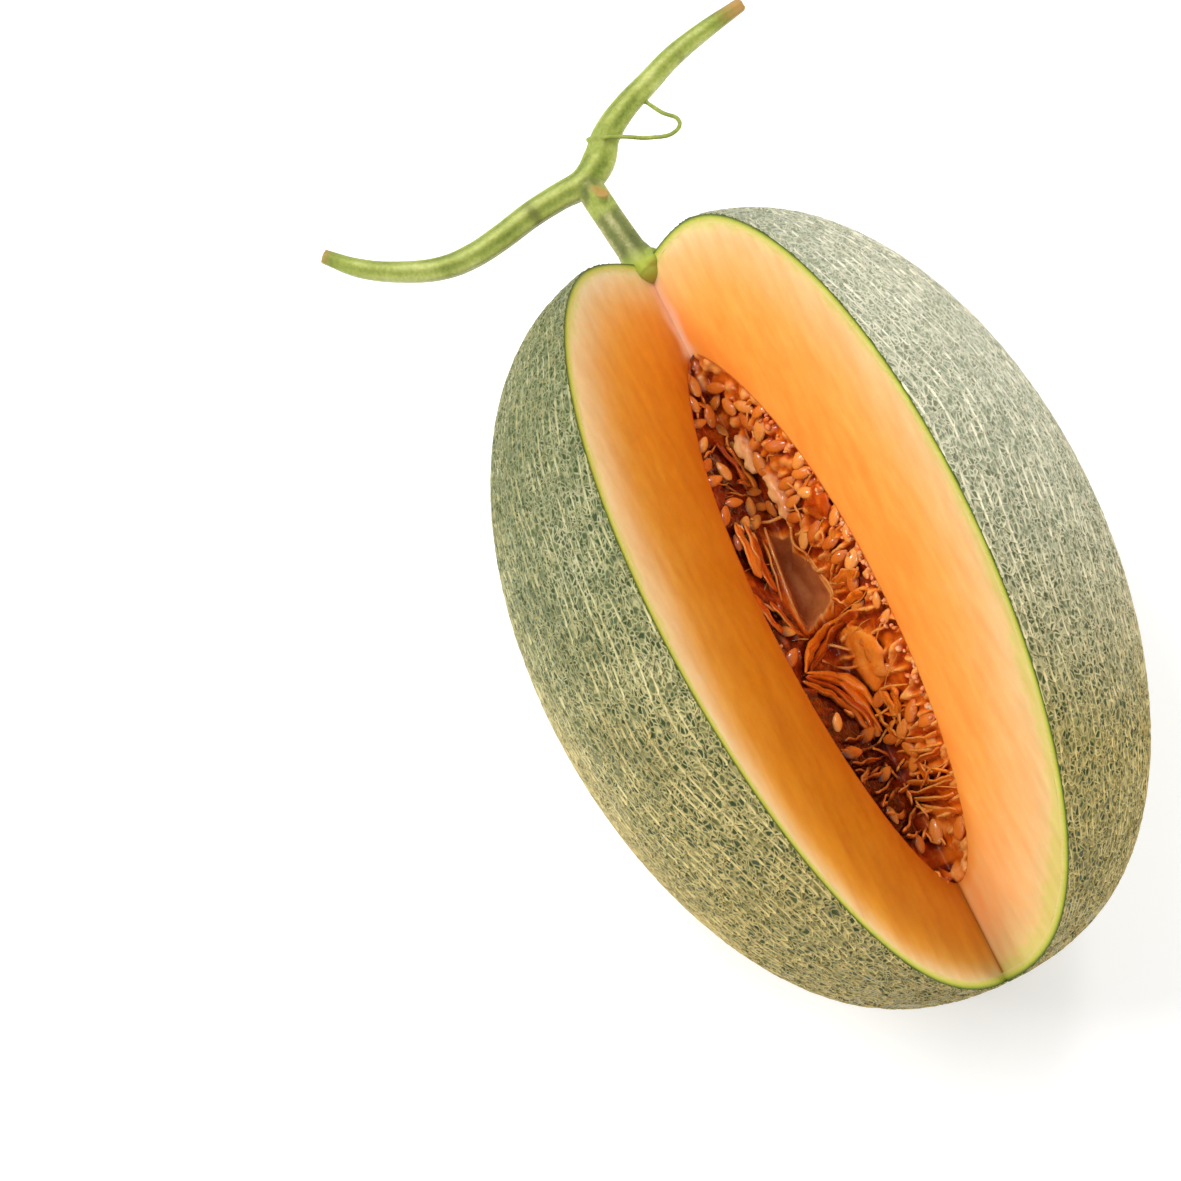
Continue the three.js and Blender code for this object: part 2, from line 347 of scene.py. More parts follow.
def makeMottleGroup():
    # cloudy patches with finer specks in them, used to break up a colour
    tree, start, end = makeGroup(
        "mottle",
        [("Vector", "NodeSocketVector", None), ("Patch Scale", "NodeSocketFloat", 40.0),
         ("Speck Scale", "NodeSocketFloat", 400.0), ("Speck Share", "NodeSocketFloat", 0.4)],
        [("Mask", "NodeSocketFloat")])
    given = start.outputs
    patches = put(tree, "ShaderNodeTexNoise", -500, 150, {
        "Vector": given["Vector"], "Scale": given["Patch Scale"], "Detail": 3.0, "Roughness": 0.55})
    specks = put(tree, "ShaderNodeTexNoise", -500, -150, {
        "Vector": given["Vector"], "Scale": given["Speck Scale"], "Detail": 4.0, "Roughness": 0.6})
    mask = blended(tree, -100, 0, given["Speck Share"], patches.outputs["Fac"], specks.outputs["Fac"])
    tree.links.new(mask, end.inputs["Mask"])
    return tree


def makeDampGroup():
    # roughness of a wet surface, smoother where juice has pooled
    tree, start, end = makeGroup(
        "dampness",
        [("Vector", "NodeSocketVector", None), ("Pool Scale", "NodeSocketFloat", 150.0),
         ("Wet", "NodeSocketFloat", 0.12), ("Dry", "NodeSocketFloat", 0.5)],
        [("Roughness", "NodeSocketFloat")])
    given = start.outputs
    pools = noiseAt(tree, -500, 0, given["Vector"], given["Pool Scale"])["Fac"]
    rough = spanned(tree, -200, 0, pools, 0.35, 0.65, given["Wet"], given["Dry"])
    tree.links.new(rough, end.inputs["Roughness"])
    return tree


mottleGroup = makeMottleGroup()
dampGroup = makeDampGroup()


def addGroup(tree, group, x, y, vector, **values):
    fed = {name.replace("_", " "): value for name, value in values.items()}
    return put(tree, "ShaderNodeGroup", x, y, {"Vector": vector, **fed}, node_tree=group).outputs[0]


def mottleAt(tree, x, place, patchScale, speckScale, speckShare):
    return addGroup(tree, mottleGroup, x, 0, place,
                    Patch_Scale=patchScale, Speck_Scale=speckScale, Speck_Share=speckShare)


def dampAt(tree, place, poolScale, wet, dry):
    return addGroup(tree, dampGroup, 0, -100, place, Pool_Scale=poolScale, Wet=wet, Dry=dry)


def calc(tree, x, y, operation, *values):
    # one step of arithmetic, whose values are sockets or numbers
    node = put(tree, "ShaderNodeMath", x, y, operation=operation)
    for socket, value in zip(node.inputs, values):
        feed(tree, socket, value)
    return node.outputs[0]


def mixColours(tree, x, y, factor, first, second, mode="MIX"):
    # first and second are sockets or colours, factor a socket or a number
    node = put(tree, "ShaderNodeMix", x, y, data_type="RGBA", blend_type=mode)
    for socket, value in ((0, factor), (6, first), (7, second)):
        feed(tree, node.inputs[socket], value)
    return node.outputs[2]


def makeNotchTool():
    # a prism whose edge lies along the axis: a cube with one side pinched to a line
    reach = melon["radius"] * melon["toolReach"]
    bpy.ops.mesh.primitive_cube_add(size=1, location=(0, 0, 0))
    tool = bpy.context.object
    tool.name = "notchTool"
    points = readPoints(tool)
    far = points[:, 1] < 0
    side = reach * math.tan(melon["notchHalfAngle"])
    points[:, 0] = np.where(far, np.sign(points[:, 0]) * side, 0)
    points[:, 1] = np.where(far, -reach, 0) - melon["notchInset"]
    points[:, 2] = np.sign(points[:, 2]) * melon["halfLength"] * melon["toolLength"]
    writePoints(tool, points)
    startEdit(tool, "SELECT")
    bpy.ops.mesh.remove_doubles(threshold=1e-6)
    bpy.ops.mesh.normals_make_consistent(inside=False)
    endEdit()
    return tool


def copyMesh(model):
    copy = model.copy()
    copy.data = model.data.copy()
    bpy.context.collection.objects.link(copy)
    return copy


def addBall(segments, rings):
    bpy.ops.mesh.primitive_uv_sphere_add(segments=segments, ring_count=rings, radius=1)
    return bpy.context.object


def makeCavityForm(segments, rings, inset=0.0):
    # a ball drawn out to the form of the cavity
    ball = addBall(segments, rings)
    points = readPoints(ball)
    angle = np.arccos(np.clip(points[:, 2] / np.linalg.norm(points, axis=1), -1, 1))
    around = np.arctan2(points[:, 1], points[:, 0])
    r, z = cavityAt(angle, inset)
    writePoints(ball, roundAxis(r, around, z, cavity["shift"]))
    return ball


def toMelonForm(obj, lift=0.0):
    points = readPoints(obj)
    points /= np.linalg.norm(points, axis=1)[:, None]
    angle, around = ballAngles(points)
    r, z = outlineAt(angle, lift)
    writePoints(obj, roundAxis(r, around, z))


rind = {
    "fineness": 6,
    "extraCells": 0.215,
    "scatter": 0.0115,
    "meridians": 176,
    "meridianPull": 0.9,
    "mergedCells": 0.24,
    # rise along the melon, as a share of its length, below which an edge counts as crosswise
    "crosswise": 0.45,
    "cordHeight": 0.00038,
    "heightSpread": (0.75, 1.25),
    "cordWidths": [0.00016, 0.00026, 0.00036, 0.00046],
    "cordShare": 0.42,
    # how the long cords stray: radians, waves down and around the melon, start
    "wander": [(0.030, 5.0, 3.0, 0.0), (0.022, 9.0, -4.0, 1.0), (0.006, 17.0, 7.0, 0.0)],
    "fineScale": 740.0,
    "fineShare": 0.72,
    "pit": (44, 62, 20),
    "bareAngle": 0.12,
    "fullAngle": 0.34,
    "ground": (92, 104, 62),
    "groundDark": (58, 76, 46),
    "groundWarm": (122, 120, 66),
    "cord": (212, 203, 150),
    "cordDark": (166, 152, 98),
    "cordPale": (238, 231, 190),
    "groundLow": (122, 114, 54),
    "cordLow": (214, 192, 126),
    # sides that are paler, greener and tan: the paler side is painted sheen of the top light over a skin
    # that is paler there, and the tan left limb is painted rim light; direction, where it starts and is
    # full, how much
    "paleSheenSide": ((0.80, -0.45, 0.40), 0.03, 0.09, 1.0),
    "shadeSide": ((-0.50, -0.50, 0.70), 0.045, 0.10, 0.45),
    # the tan left limb is painted rim light
    "rimLightSide": ((-0.96, 0.25, -0.16), 0.064, 0.084, 0.5),
    "groundPaleSheen": (154, 158, 132),
    "cordPaleSheen": (232, 226, 202),
    "shadeGreen": (62, 80, 36),
    "rimLitTan": (192, 172, 116),
    # the band of rind on the cut faces, from inside to the skin, and how near the cut it lies
    "bandShades": [(0.12, (222, 204, 132)), (0.40, (204, 198, 104)), (0.62, (186, 190, 74)),
                   (0.80, (140, 156, 48)), (0.91, (88, 106, 34)), (1.0, (68, 82, 32))],
    "cutGap": 0.00005,
}


def addCellsModifier(obj):
    # swaps every point of the mesh for a cell, so a ball of triangles becomes a ball of polygons
    tree = bpy.data.node_groups.new("cellsFromPoints", "GeometryNodeTree")
    tree.interface.new_socket("Geometry", in_out="INPUT", socket_type="NodeSocketGeometry")
    tree.interface.new_socket("Geometry", in_out="OUTPUT", socket_type="NodeSocketGeometry")
    start = tree.nodes.new("NodeGroupInput")
    dual = tree.nodes.new("GeometryNodeDualMesh")
    end = tree.nodes.new("NodeGroupOutput")
    tree.links.new(start.outputs[0], dual.inputs[0])
    tree.links.new(dual.outputs[0], end.inputs[0])
    applyModifier(obj, "NODES", node_group=tree)
    bpy.data.node_groups.remove(tree)


def wanderAt(angle, around):
    return sum(size * np.sin(down * angle + across * around + start)
               for size, down, across, start in rind["wander"])


def makeNetCells():
    rng = np.random.default_rng(5)
    bpy.ops.mesh.primitive_ico_sphere_add(subdivisions=rind["fineness"], radius=1)
    net = bpy.context.object
    faces = len(net.data.polygons)
    selectWhere(net, rng.random(faces) < rind["extraCells"], "FACE")
    bpy.ops.mesh.poke()
    bpy.ops.mesh.select_all(action="SELECT")
    bpy.ops.mesh.beautify_fill(angle_limit=math.pi)
    bpy.ops.mesh.vertices_smooth(factor=0.5, repeat=2)
    bpy.ops.transform.vertex_random(offset=rind["scatter"], seed=11)
    endEdit()
    addCellsModifier(net)

    # cell corners drift towards wandering meridians, which makes the long cords of the net
    points = readPoints(net)
    points /= np.linalg.norm(points, axis=1)[:, None]
    angle, around = ballAngles(points)
    wander = wanderAt(angle, around)
    count = rind["meridians"]
    # the pull fades towards the two ends, where the meridians crowd together
    pull = rind["meridianPull"] * np.clip(np.sin(angle) * 1.6 - 0.4, 0, 1)
    around = around - pull / count * np.sin(count * (around + wander))
    fade = np.clip((angle - rind["bareAngle"]) / (rind["fullAngle"] - rind["bareAngle"]), 0, 1)
    height = rind["cordHeight"] * fade * rng.uniform(*rind["heightSpread"], len(points))
    r, z = outlineAt(angle, height)
    writePoints(net, roundAxis(r, around, z))

    # some cells are merged with the next one along the melon
    edges = np.empty(len(net.data.edges) * 2, int)
    net.data.edges.foreach_get("vertices", edges)
    ends = readPoints(net)[edges.reshape(-1, 2)]
    span = ends[:, 1] - ends[:, 0]
    crosswise = np.abs(span[:, 2]) < rind["crosswise"] * np.linalg.norm(span, axis=1)
    selectWhere(net, crosswise & (rng.random(len(span)) < rind["mergedCells"]), "EDGE")
    bpy.ops.mesh.dissolve_edges(use_verts=False)
    endEdit()
    return net, rng


def readCellGroups(net):
    marks = np.empty(len(net.data.polygons), np.int32)
    net.data.attributes["cellGroup"].data.foreach_get("value", marks)
    return marks


def pressCells(net, rng):
    # each cell is inset and its floor pressed to the skin, so that its rim stands as a cord
    widths = np.array(rind["cordWidths"])
    points = readPoints(net)
    room = []
    for face in net.data.polygons:
        corners = points[list(face.vertices)]
        girth = np.linalg.norm(corners - np.roll(corners, 1, 0), axis=1).sum()
        room.append(2 * face.area / girth * rind["cordShare"])
    group = rng.integers(1, len(widths), len(room))
    group = np.minimum(group, np.searchsorted(widths, room) - 1)
    group = np.maximum(group, 0)
    mark = net.data.attributes.new("cellGroup", "INT", "FACE")
    mark.data.foreach_set("value", group.astype(np.int32))
    for number, width in enumerate(widths):
        marks = readCellGroups(net)
        selectWhere(net, marks == number, "FACE")
        bpy.ops.mesh.inset(thickness=width, depth=0, use_individual=True, use_even_offset=True)
        endEdit()
        chosen = np.empty(len(net.data.polygons), bool)
        net.data.polygons.foreach_get("select", chosen)
        sunk = np.zeros(len(net.data.vertices), bool)
        for face in net.data.polygons:
            if chosen[face.index]:
                sunk[list(face.vertices)] = True
        points = readPoints(net)
        low = points[sunk]
        low *= (1 - liftOf(low) / np.linalg.norm(low, axis=1))[:, None]
        points[sunk] = low
        writePoints(net, points)
        marks = readCellGroups(net)
        rims = np.arange(len(marks)) >= len(group)
        marks[chosen | rims] = -1
        net.data.attributes["cellGroup"].data.foreach_set("value", marks)
    net.data.attributes.remove(net.data.attributes["cellGroup"])


def wallGap(points):
    # distance from the planes of the cut
    half = melon["notchHalfAngle"]
    behind = (points[:, 1] + melon["notchInset"]) * math.sin(half)
    return np.abs(np.abs(points[:, 0]) * math.cos(half) + behind)


def makeRind(notchTool):
    net, rng = makeNetCells()
    pressCells(net, rng)
    core = addBall(64, 84)
    toMelonForm(core, -melon["skinDepth"])
    startEdit(net, "SELECT")
    bpy.ops.mesh.quads_convert_to_tris()
    endEdit()
    cutBy(net, core)
    cutBy(net, notchTool, keepTool=True)
    # the cut band gets well shaped faces, so that its colours follow the depth
    centres = np.array([face.center for face in net.data.polygons])
    selectWhere(net, wallGap(centres) < 2e-5, "FACE")
    bpy.ops.mesh.quads_convert_to_tris(quad_method="BEAUTY", ngon_method="BEAUTY")
    for _ in range(3):
        bpy.ops.mesh.beautify_fill(angle_limit=math.pi)
    endEdit()
    toFrame = pose.inverted()
    startEdit(net, "SELECT")
    bpy.ops.mesh.bisect(
        plane_co=toFrame @ Vector((0, 0, 0)), plane_no=toFrame.to_3x3() @ Vector((0, 0, -1)),
        use_fill=True, clear_outer=True, threshold=1e-6)
    bpy.ops.mesh.select_all(action="SELECT")
    bpy.ops.mesh.fill_holes(sides=12)
    endEdit()
    net = joinInto([net], "rind_skin")
    writeAttribute(net, "lift", liftOf(readPoints(net)) * 1000)
    smoothShade(net, 50)
    return net


def shareOnSide(tree, place, direction, low, high, most, y):
    # rises from 0 to most between two distances along a direction from the melon's middle
    along = put(tree, "ShaderNodeVectorMath", -1000, y, operation="DOT_PRODUCT")
    along.inputs[1].default_value = Vector(direction).normalized()
    tree.links.new(place, along.inputs[0])
    return spanned(tree, -800, y, along.outputs["Value"], low, high, 0.0, most)


def addFineNet(tree, place):
    # finer cords between the raised ones, drawn out along the melon, and the dark pits between them
    stretch = drawnOut(tree, -1100, -300, place, 0.72)
    bend = put(tree, "ShaderNodeMix", -900, -400, {"Factor": 0.004}, data_type="VECTOR")
    tree.links.new(stretch, bend.inputs[4])
    tree.links.new(noiseAt(tree, -1100, -600, stretch, 180.0)["Color"], bend.inputs[5])
    cracks = put(tree, "ShaderNodeTexVoronoi", -700, -400, {"Scale": rind["fineScale"]},
                 feature="DISTANCE_TO_EDGE")
    gaps = put(tree, "ShaderNodeTexVoronoi", -700, -700, {"Scale": rind["fineScale"]})
    tree.links.new(bend.outputs[1], cracks.inputs["Vector"])
    tree.links.new(bend.outputs[1], gaps.inputs["Vector"])
    away = cracks.outputs["Distance"]
    tone = put(tree, "ShaderNodeSeparateColor", -500, -900)
    tree.links.new(gaps.outputs["Color"], tone.inputs["Color"])
    pit = calc(tree, -300, -700, "MULTIPLY", spanned(tree, -500, -700, away, 0.05, 0.16),
               spanned(tree, -400, -800, tone.outputs["Red"], 0.10, 0.60))
    fine = calc(tree, -400, -300, "MULTIPLY", spanned(tree, -500, -400, away, 0.05, 0.20, 1.0, 0.0),
                spanned(tree, -500, -250, tone.outputs["Green"], 0.2, 0.8, 0.25))
    return calc(tree, -300, -300, "MULTIPLY", fine, rind["fineShare"]), pit


def addLongCords(tree, place, x, y, z):
    # long cords waver along the melon, as wanderAt says, and fade here and there
    around = calc(tree, -1900, -1400, "ARCTAN2", y, x)
    square = calc(tree, -1900, -1600, "ADD", calc(tree, -2000, -1600, "MULTIPLY", x, x),
                  calc(tree, -2000, -1700, "MULTIPLY", y, y))
    wide = calc(tree, -1800, -1600, "DIVIDE", calc(tree, -1850, -1600, "SQRT", square), melon["radius"])
    high = calc(tree, -1800, -1800, "DIVIDE", z, melon["halfLength"])
    angle = calc(tree, -1700, -1600, "ARCTAN2", wide, high)
    total = around
    for number, (size, down, across, start) in enumerate(rind["wander"]):
        row = -1500 - 200 * number
        turn = calc(tree, -1600, row, "MULTIPLY", angle, down)
        turn = calc(tree, -1500, row, "MULTIPLY_ADD", around, across, turn)
        wave = calc(tree, -1400, row, "SINE", calc(tree, -1450, row, "ADD", turn, start))
        total = calc(tree, -1300, row, "MULTIPLY_ADD", wave, size, total)
    total = calc(tree, -1200, -1500, "MULTIPLY", total, float(rind["meridians"]))
    crest = spanned(tree, -1000, -1500, calc(tree, -1100, -1500, "COSINE", total), 0.55, 0.92)
    breaks = noiseAt(tree, -900, -1350, drawnOut(tree, -1100, -1200, place, 0.3), 260.0)["Fac"]
    return calc(tree, -500, -1400, "MULTIPLY", crest, spanned(tree, -700, -1350, breaks, 0.42, 0.55))


def makeRindMaterial():
    material, tree, shader, place = newMaterial("netted_rind")
    lift = readMark(tree, "lift", 0.06, 0.30, -1100, 300)
    mottle = mottleAt(tree, -1000, place, 28.0, 520.0, 0.45)
    parts = put(tree, "ShaderNodeSeparateXYZ", -2100, -1500)
    tree.links.new(place, parts.inputs["Vector"])
    x, y, z = parts.outputs
    fine, pit = addFineNet(tree, place)
    cords = addLongCords(tree, place, x, y, z)
    # the raised cords between them are fainter, and fade here and there
    patchy = noiseAt(tree, -900, -1100, place, 300.0)["Fac"]
    raised = calc(tree, -300, -900, "MULTIPLY", lift,
                  spanned(tree, -700, -1100, patchy, 0.40, 0.60, 0.06, 0.75))
    netted = calc(tree, -200, -100, "MAXIMUM", calc(tree, -300, -200, "MAXIMUM", fine, raised), cords)

    ground = ramped(tree, -600, 0, mottle,
                    [(0.30, rind["groundDark"]), (0.52, rind["ground"]), (0.72, rind["groundWarm"])])
    cord = ramped(tree, -600, 250, mottle,
                  [(0.30, rind["cordDark"]), (0.5, rind["cord"]), (0.70, rind["cordPale"])])
    # shares of the three sides: painted sheen over a paler skin, a greener side, and painted rim light
    paleSheen, dusk, rimLight = [shareOnSide(tree, place, *rind[name], -900 - 150 * number)
                             for number, name in enumerate(("paleSheenSide", "shadeSide", "rimLightSide"))]
    # towards the blossom end the skin is warmer
    low = spanned(tree, -700, -1700, z, 0.02, -0.075)
    under = mixColours(tree, -400, 50, low, ground, colour(*rind["groundLow"]))
    over = mixColours(tree, -400, 350, low, cord, colour(*rind["cordLow"]))
    # the paler side: painted sheen of the top light over a skin that is paler there, with the pits fading
    # under it
    under = mixColours(tree, -300, 100, paleSheen, under, colour(*rind["groundPaleSheen"]))
    pitFade = calc(tree, -500, -600, "MULTIPLY_ADD", paleSheen, -0.74, 1.0)
    pitted = calc(tree, -400, -600, "MULTIPLY", pit, pitFade)
    under = mixColours(tree, -250, 50, pitted, under, colour(*rind["pit"]))
    over = mixColours(tree, -300, 300, paleSheen, over, colour(*rind["cordPaleSheen"]))
    skin = mixColours(tree, -100, 100, netted, under, over)
    skin = mixColours(tree, 0, 100, dusk, skin, colour(*rind["shadeGreen"]))
    # the tan left limb is painted rim light
    skin = mixColours(tree, 100, 100, rimLight, skin, colour(*rind["rimLitTan"]))

    # the cut edge: dark green under the skin, paling towards the flesh
    inner = ramped(tree, -600, 550, readMark(tree, "lift", -3.0, 0.0, -1100, 550), rind["bandShades"])
    half = melon["notchHalfAngle"]
    behind = calc(tree, -1200, 900, "ADD", y, melon["notchInset"])
    behind = calc(tree, -1100, 900, "MULTIPLY", behind, math.sin(half))
    beside = calc(tree, -1000, 1000, "ABSOLUTE", x)
    behind = calc(tree, -900, 900, "MULTIPLY_ADD", beside, math.cos(half), behind)
    isCut = calc(tree, -700, 900, "LESS_THAN", calc(tree, -800, 900, "ABSOLUTE", behind), rind["cutGap"])
    dressShader(tree, shader, {
        "Base Color": mixColours(tree, 200, 200, isCut, skin, inner),
        "Roughness": spanned(tree, 350, -150, netted, 0.0, 1.0, 0.48, 0.82),
        "Specular IOR Level": 0.4,
        "Subsurface Weight": 0.05,
        "Subsurface Scale": 0.001,
    }, (calc(tree, 100, -350, "ADD", netted, mottle), 0.5, 0.0004))
    return material


flesh = {
    "grid": 0.0011,
    "relief": 0.00016,
    "outerOverlap": 0.0001,
    "segments": 128,
    "rings": 72,
    # how the depth of the colours changes on each side down to the blossom end: deeper on the left, where
    # it paints shade, and shallower on the right
    "lowEnd": 0.09,
    "lowShadeLeft": 1.3,
    "lowPalingRight": -0.45,
    "rimNarrowing": 1.6,
    "shadedLeftBlend": 0.0008,
    "coreFrom": 0.082,
    "coreWidth": 0.0030,
    "coreSway": 0.0006,
    "creaseFrom": -0.086,
    "creaseWidth": 0.0013,
    # colours by depth under the rind, on the right and on the left, whose darker copies paint shade on that
    # half, from 0 to 1
    "shades": [
        (0.065, (214, 198, 116)), (0.10, (228, 196, 132)), (0.14, (230, 190, 130)), (0.20, (238, 187, 124)),
        (0.28, (246, 184, 116)), (0.38, (252, 180, 106)), (0.50, (255, 174, 90)), (0.68, (254, 168, 78)),
        (1.0, (252, 160, 66)),
    ],
    "shadedLeftShades": [
        (0.065, (214, 204, 128)), (0.10, (228, 204, 152)), (0.14, (226, 196, 142)), (0.20, (224, 188, 132)),
        (0.28, (222, 178, 114)), (0.38, (220, 164, 86)), (0.50, (216, 150, 54)), (0.68, (212, 138, 34)),
        (1.0, (208, 130, 22)),
    ],
    "nearCavity": (246, 154, 62),
    # the band by the cavity on the left half, darker as painted shade
    "shadedLeftCavity": (202, 114, 8),
    "wall": (184, 76, 22),
    "corePale": (246, 200, 164),
    "crease": (184, 108, 34),
}


def cavityGap(points):
    # distance of points from the wall of the cavity
    r, z = cavityAt(np.linspace(0, math.pi, 401))
    radial = np.hypot(points[:, 0] - cavity["shift"], points[:, 1])
    gap = np.empty(len(points))
    for part in partsOf(len(points)):
        gap[part] = np.sqrt(((radial[part, None] - r) ** 2 + (points[part, 2, None] - z) ** 2).min(1))
    return gap


def makeFlesh():
    body = addBall(flesh["segments"], flesh["rings"])
    toMelonForm(body, -melon["skinDepth"] + flesh["outerOverlap"])
    cutBy(body, makeCavityForm(64, 64))

    # the notch is cut by a tool with finely divided sides, which leaves the grain of the knife
    tool = makeNotchTool()
    tool.name = "fleshNotchTool"
    refineTool(tool)
    cutBy(body, tool)
    body = joinInto([body], "flesh_body")
    points = readPoints(body)
    # towards the blossom end the left half deepens nearly to the rind as painted shade, and the right half
    # is paler
    low = np.clip(-points[:, 2] / flesh["lowEnd"], 0, 1)
    lowEndScale = 1 + low * np.where(points[:, 0] < 0, flesh["lowShadeLeft"], flesh["lowPalingRight"])
    writeAttribute(body, "depth", -liftOf(points) * 1000 * lowEndScale)
    spread = 1 + flesh["rimNarrowing"] * low * (points[:, 0] > 0)
    writeAttribute(body, "toCavity", cavityGap(points) * 1000 * spread)
    # the left half, which takes the darker colours of painted shade
    writeAttribute(body, "shadedLeft", np.clip(0.5 - points[:, 0] / flesh["shadedLeftBlend"], 0, 1))
    smoothShade(body, 40)
    return body


def markCore(body):
    # the pale core shows along the axis above the cavity, and a dark crease below it
    points = readPoints(body)
    d = np.hypot(points[:, 0], points[:, 1])
    width = flesh["coreWidth"] + flesh["coreSway"] * np.sin(points[:, 2] * 400)
    top = np.clip((points[:, 2] - flesh["coreFrom"]) / 0.004, 0, 1)
    writeAttribute(body, "core", np.clip(1.6 - d / width, 0, 1) * top)
    low = np.clip((flesh["creaseFrom"] - points[:, 2]) / 0.003, 0, 1)
    writeAttribute(body, "crease", np.clip(1.2 - d / flesh["creaseWidth"], 0, 1) * low)


def refineTool(tool):
    # the two cutting sides get a grid of square faces and a low relief
    reach = melon["radius"] * melon["toolReach"] / math.cos(melon["notchHalfAngle"])
    length = melon["halfLength"] * 2 * melon["toolLength"]
    bpy.ops.mesh.primitive_grid_add(
        x_subdivisions=int(reach / flesh["grid"]), y_subdivisions=int(length / flesh["grid"]), size=1)
    sheet = bpy.context.object
    points = readPoints(sheet)
    u = (points[:, 0] + 0.5) * reach
    w = points[:, 1] * length
    bump = np.array([noise.noise(Vector((a * 120, b * 60, 3.3))) + 0.6 * noise.noise(
        Vector((a * 420, b * 300, 8.1))) for a, b in zip(u, w)])
    sink = flesh["relief"] * bump * np.clip(u / 0.003, 0, 1)
    half = melon["notchHalfAngle"]
    sides = []
    for way in (-1, 1):
        copy = copyMesh(sheet)
        x = way * (u * math.sin(half) + sink * math.cos(half))
        y = -u * math.cos(half) + sink * math.sin(half) - melon["notchInset"]
        writePoints(copy, np.stack([x, y, w], 1))
        sides.append(copy)
    bpy.data.objects.remove(sheet)
    # the two sides are joined at the axis and closed by a face behind and one at each end
    joined = joinInto(sides, "fleshNotchSides")
    startEdit(joined, "SELECT")
    bpy.ops.mesh.remove_doubles(threshold=1e-6)
    bpy.ops.mesh.select_all(action="DESELECT")
    bpy.ops.mesh.select_non_manifold()
    bpy.ops.mesh.edge_face_add()
    bpy.ops.mesh.select_all(action="SELECT")
    bpy.ops.mesh.normals_make_consistent(inside=False)
    endEdit()
    old = tool.data
    tool.data = joined.data
    bpy.data.objects.remove(joined)
    bpy.data.meshes.remove(old)


def makeFleshMaterial():
    material, tree, shader, place = newMaterial("orange_flesh")
    mottle = mottleAt(tree, -1000, place, 70.0, 420.0, 0.45)
    sway = calc(tree, -700, 300, "MULTIPLY", calc(tree, -900, 200, "SUBTRACT", mottle, 0.5), 0.26)
    level = calc(tree, -500, 400, "ADD", readMark(tree, "depth", 0.0, 40.0, -1100, 400), sway)
    # the left half gets darker copies of the colours and a darker band by the cavity: painted shade
    half = readMark(tree, "shadedLeft", 0.0, 1.0, -1100, 1450)
    sided = mixColours(tree, -100, 500, half, ramped(tree, -300, 400, level, flesh["shades"]),
                       ramped(tree, -300, 700, level, flesh["shadedLeftShades"]))
    deeper = mixColours(tree, -100, 700, half, colour(*flesh["nearCavity"]),
                        colour(*flesh["shadedLeftCavity"]))
    body = mixColours(tree, 0, 400, readMark(tree, "toCavity", 9.0, 0.0, -1100, 700), sided, deeper)
    marks = (("toCavity", 0.7, 0.1, "wall"), ("core", 0.0, 1.0, "corePale"),
             ("crease", 0.0, 1.0, "crease"))
    for number, (name, low, high, shade) in enumerate(marks):
        mark = readMark(tree, name, low, high, -1100, 950 + 250 * number)
        body = mixColours(tree, 100 + 100 * number, 400, mark, body, colour(*flesh[shade]))
    # fibres run along the melon
    fibres = noiseAt(tree, -900, -300, drawnOut(tree, -1100, -300, place, 0.25), 260.0, 5.0)["Fac"]
    grain = spanned(tree, -700, -300, fibres, 0.3, 0.7, 0.12, 0.88)
    dressShader(tree, shader, {
        "Base Color": mixColours(tree, 400, 400, 0.24, body, grain, "SOFT_LIGHT"),
        "Roughness": dampAt(tree, place, 120.0, 0.30, 0.55),
        "Subsurface Weight": 0.35,
        "Subsurface Radius": (1.0, 0.45, 0.18),
        "Subsurface Scale": 0.003,
        "Specular IOR Level": 0.45,
    }, (mottle, 0.35, 0.0003))
    return material


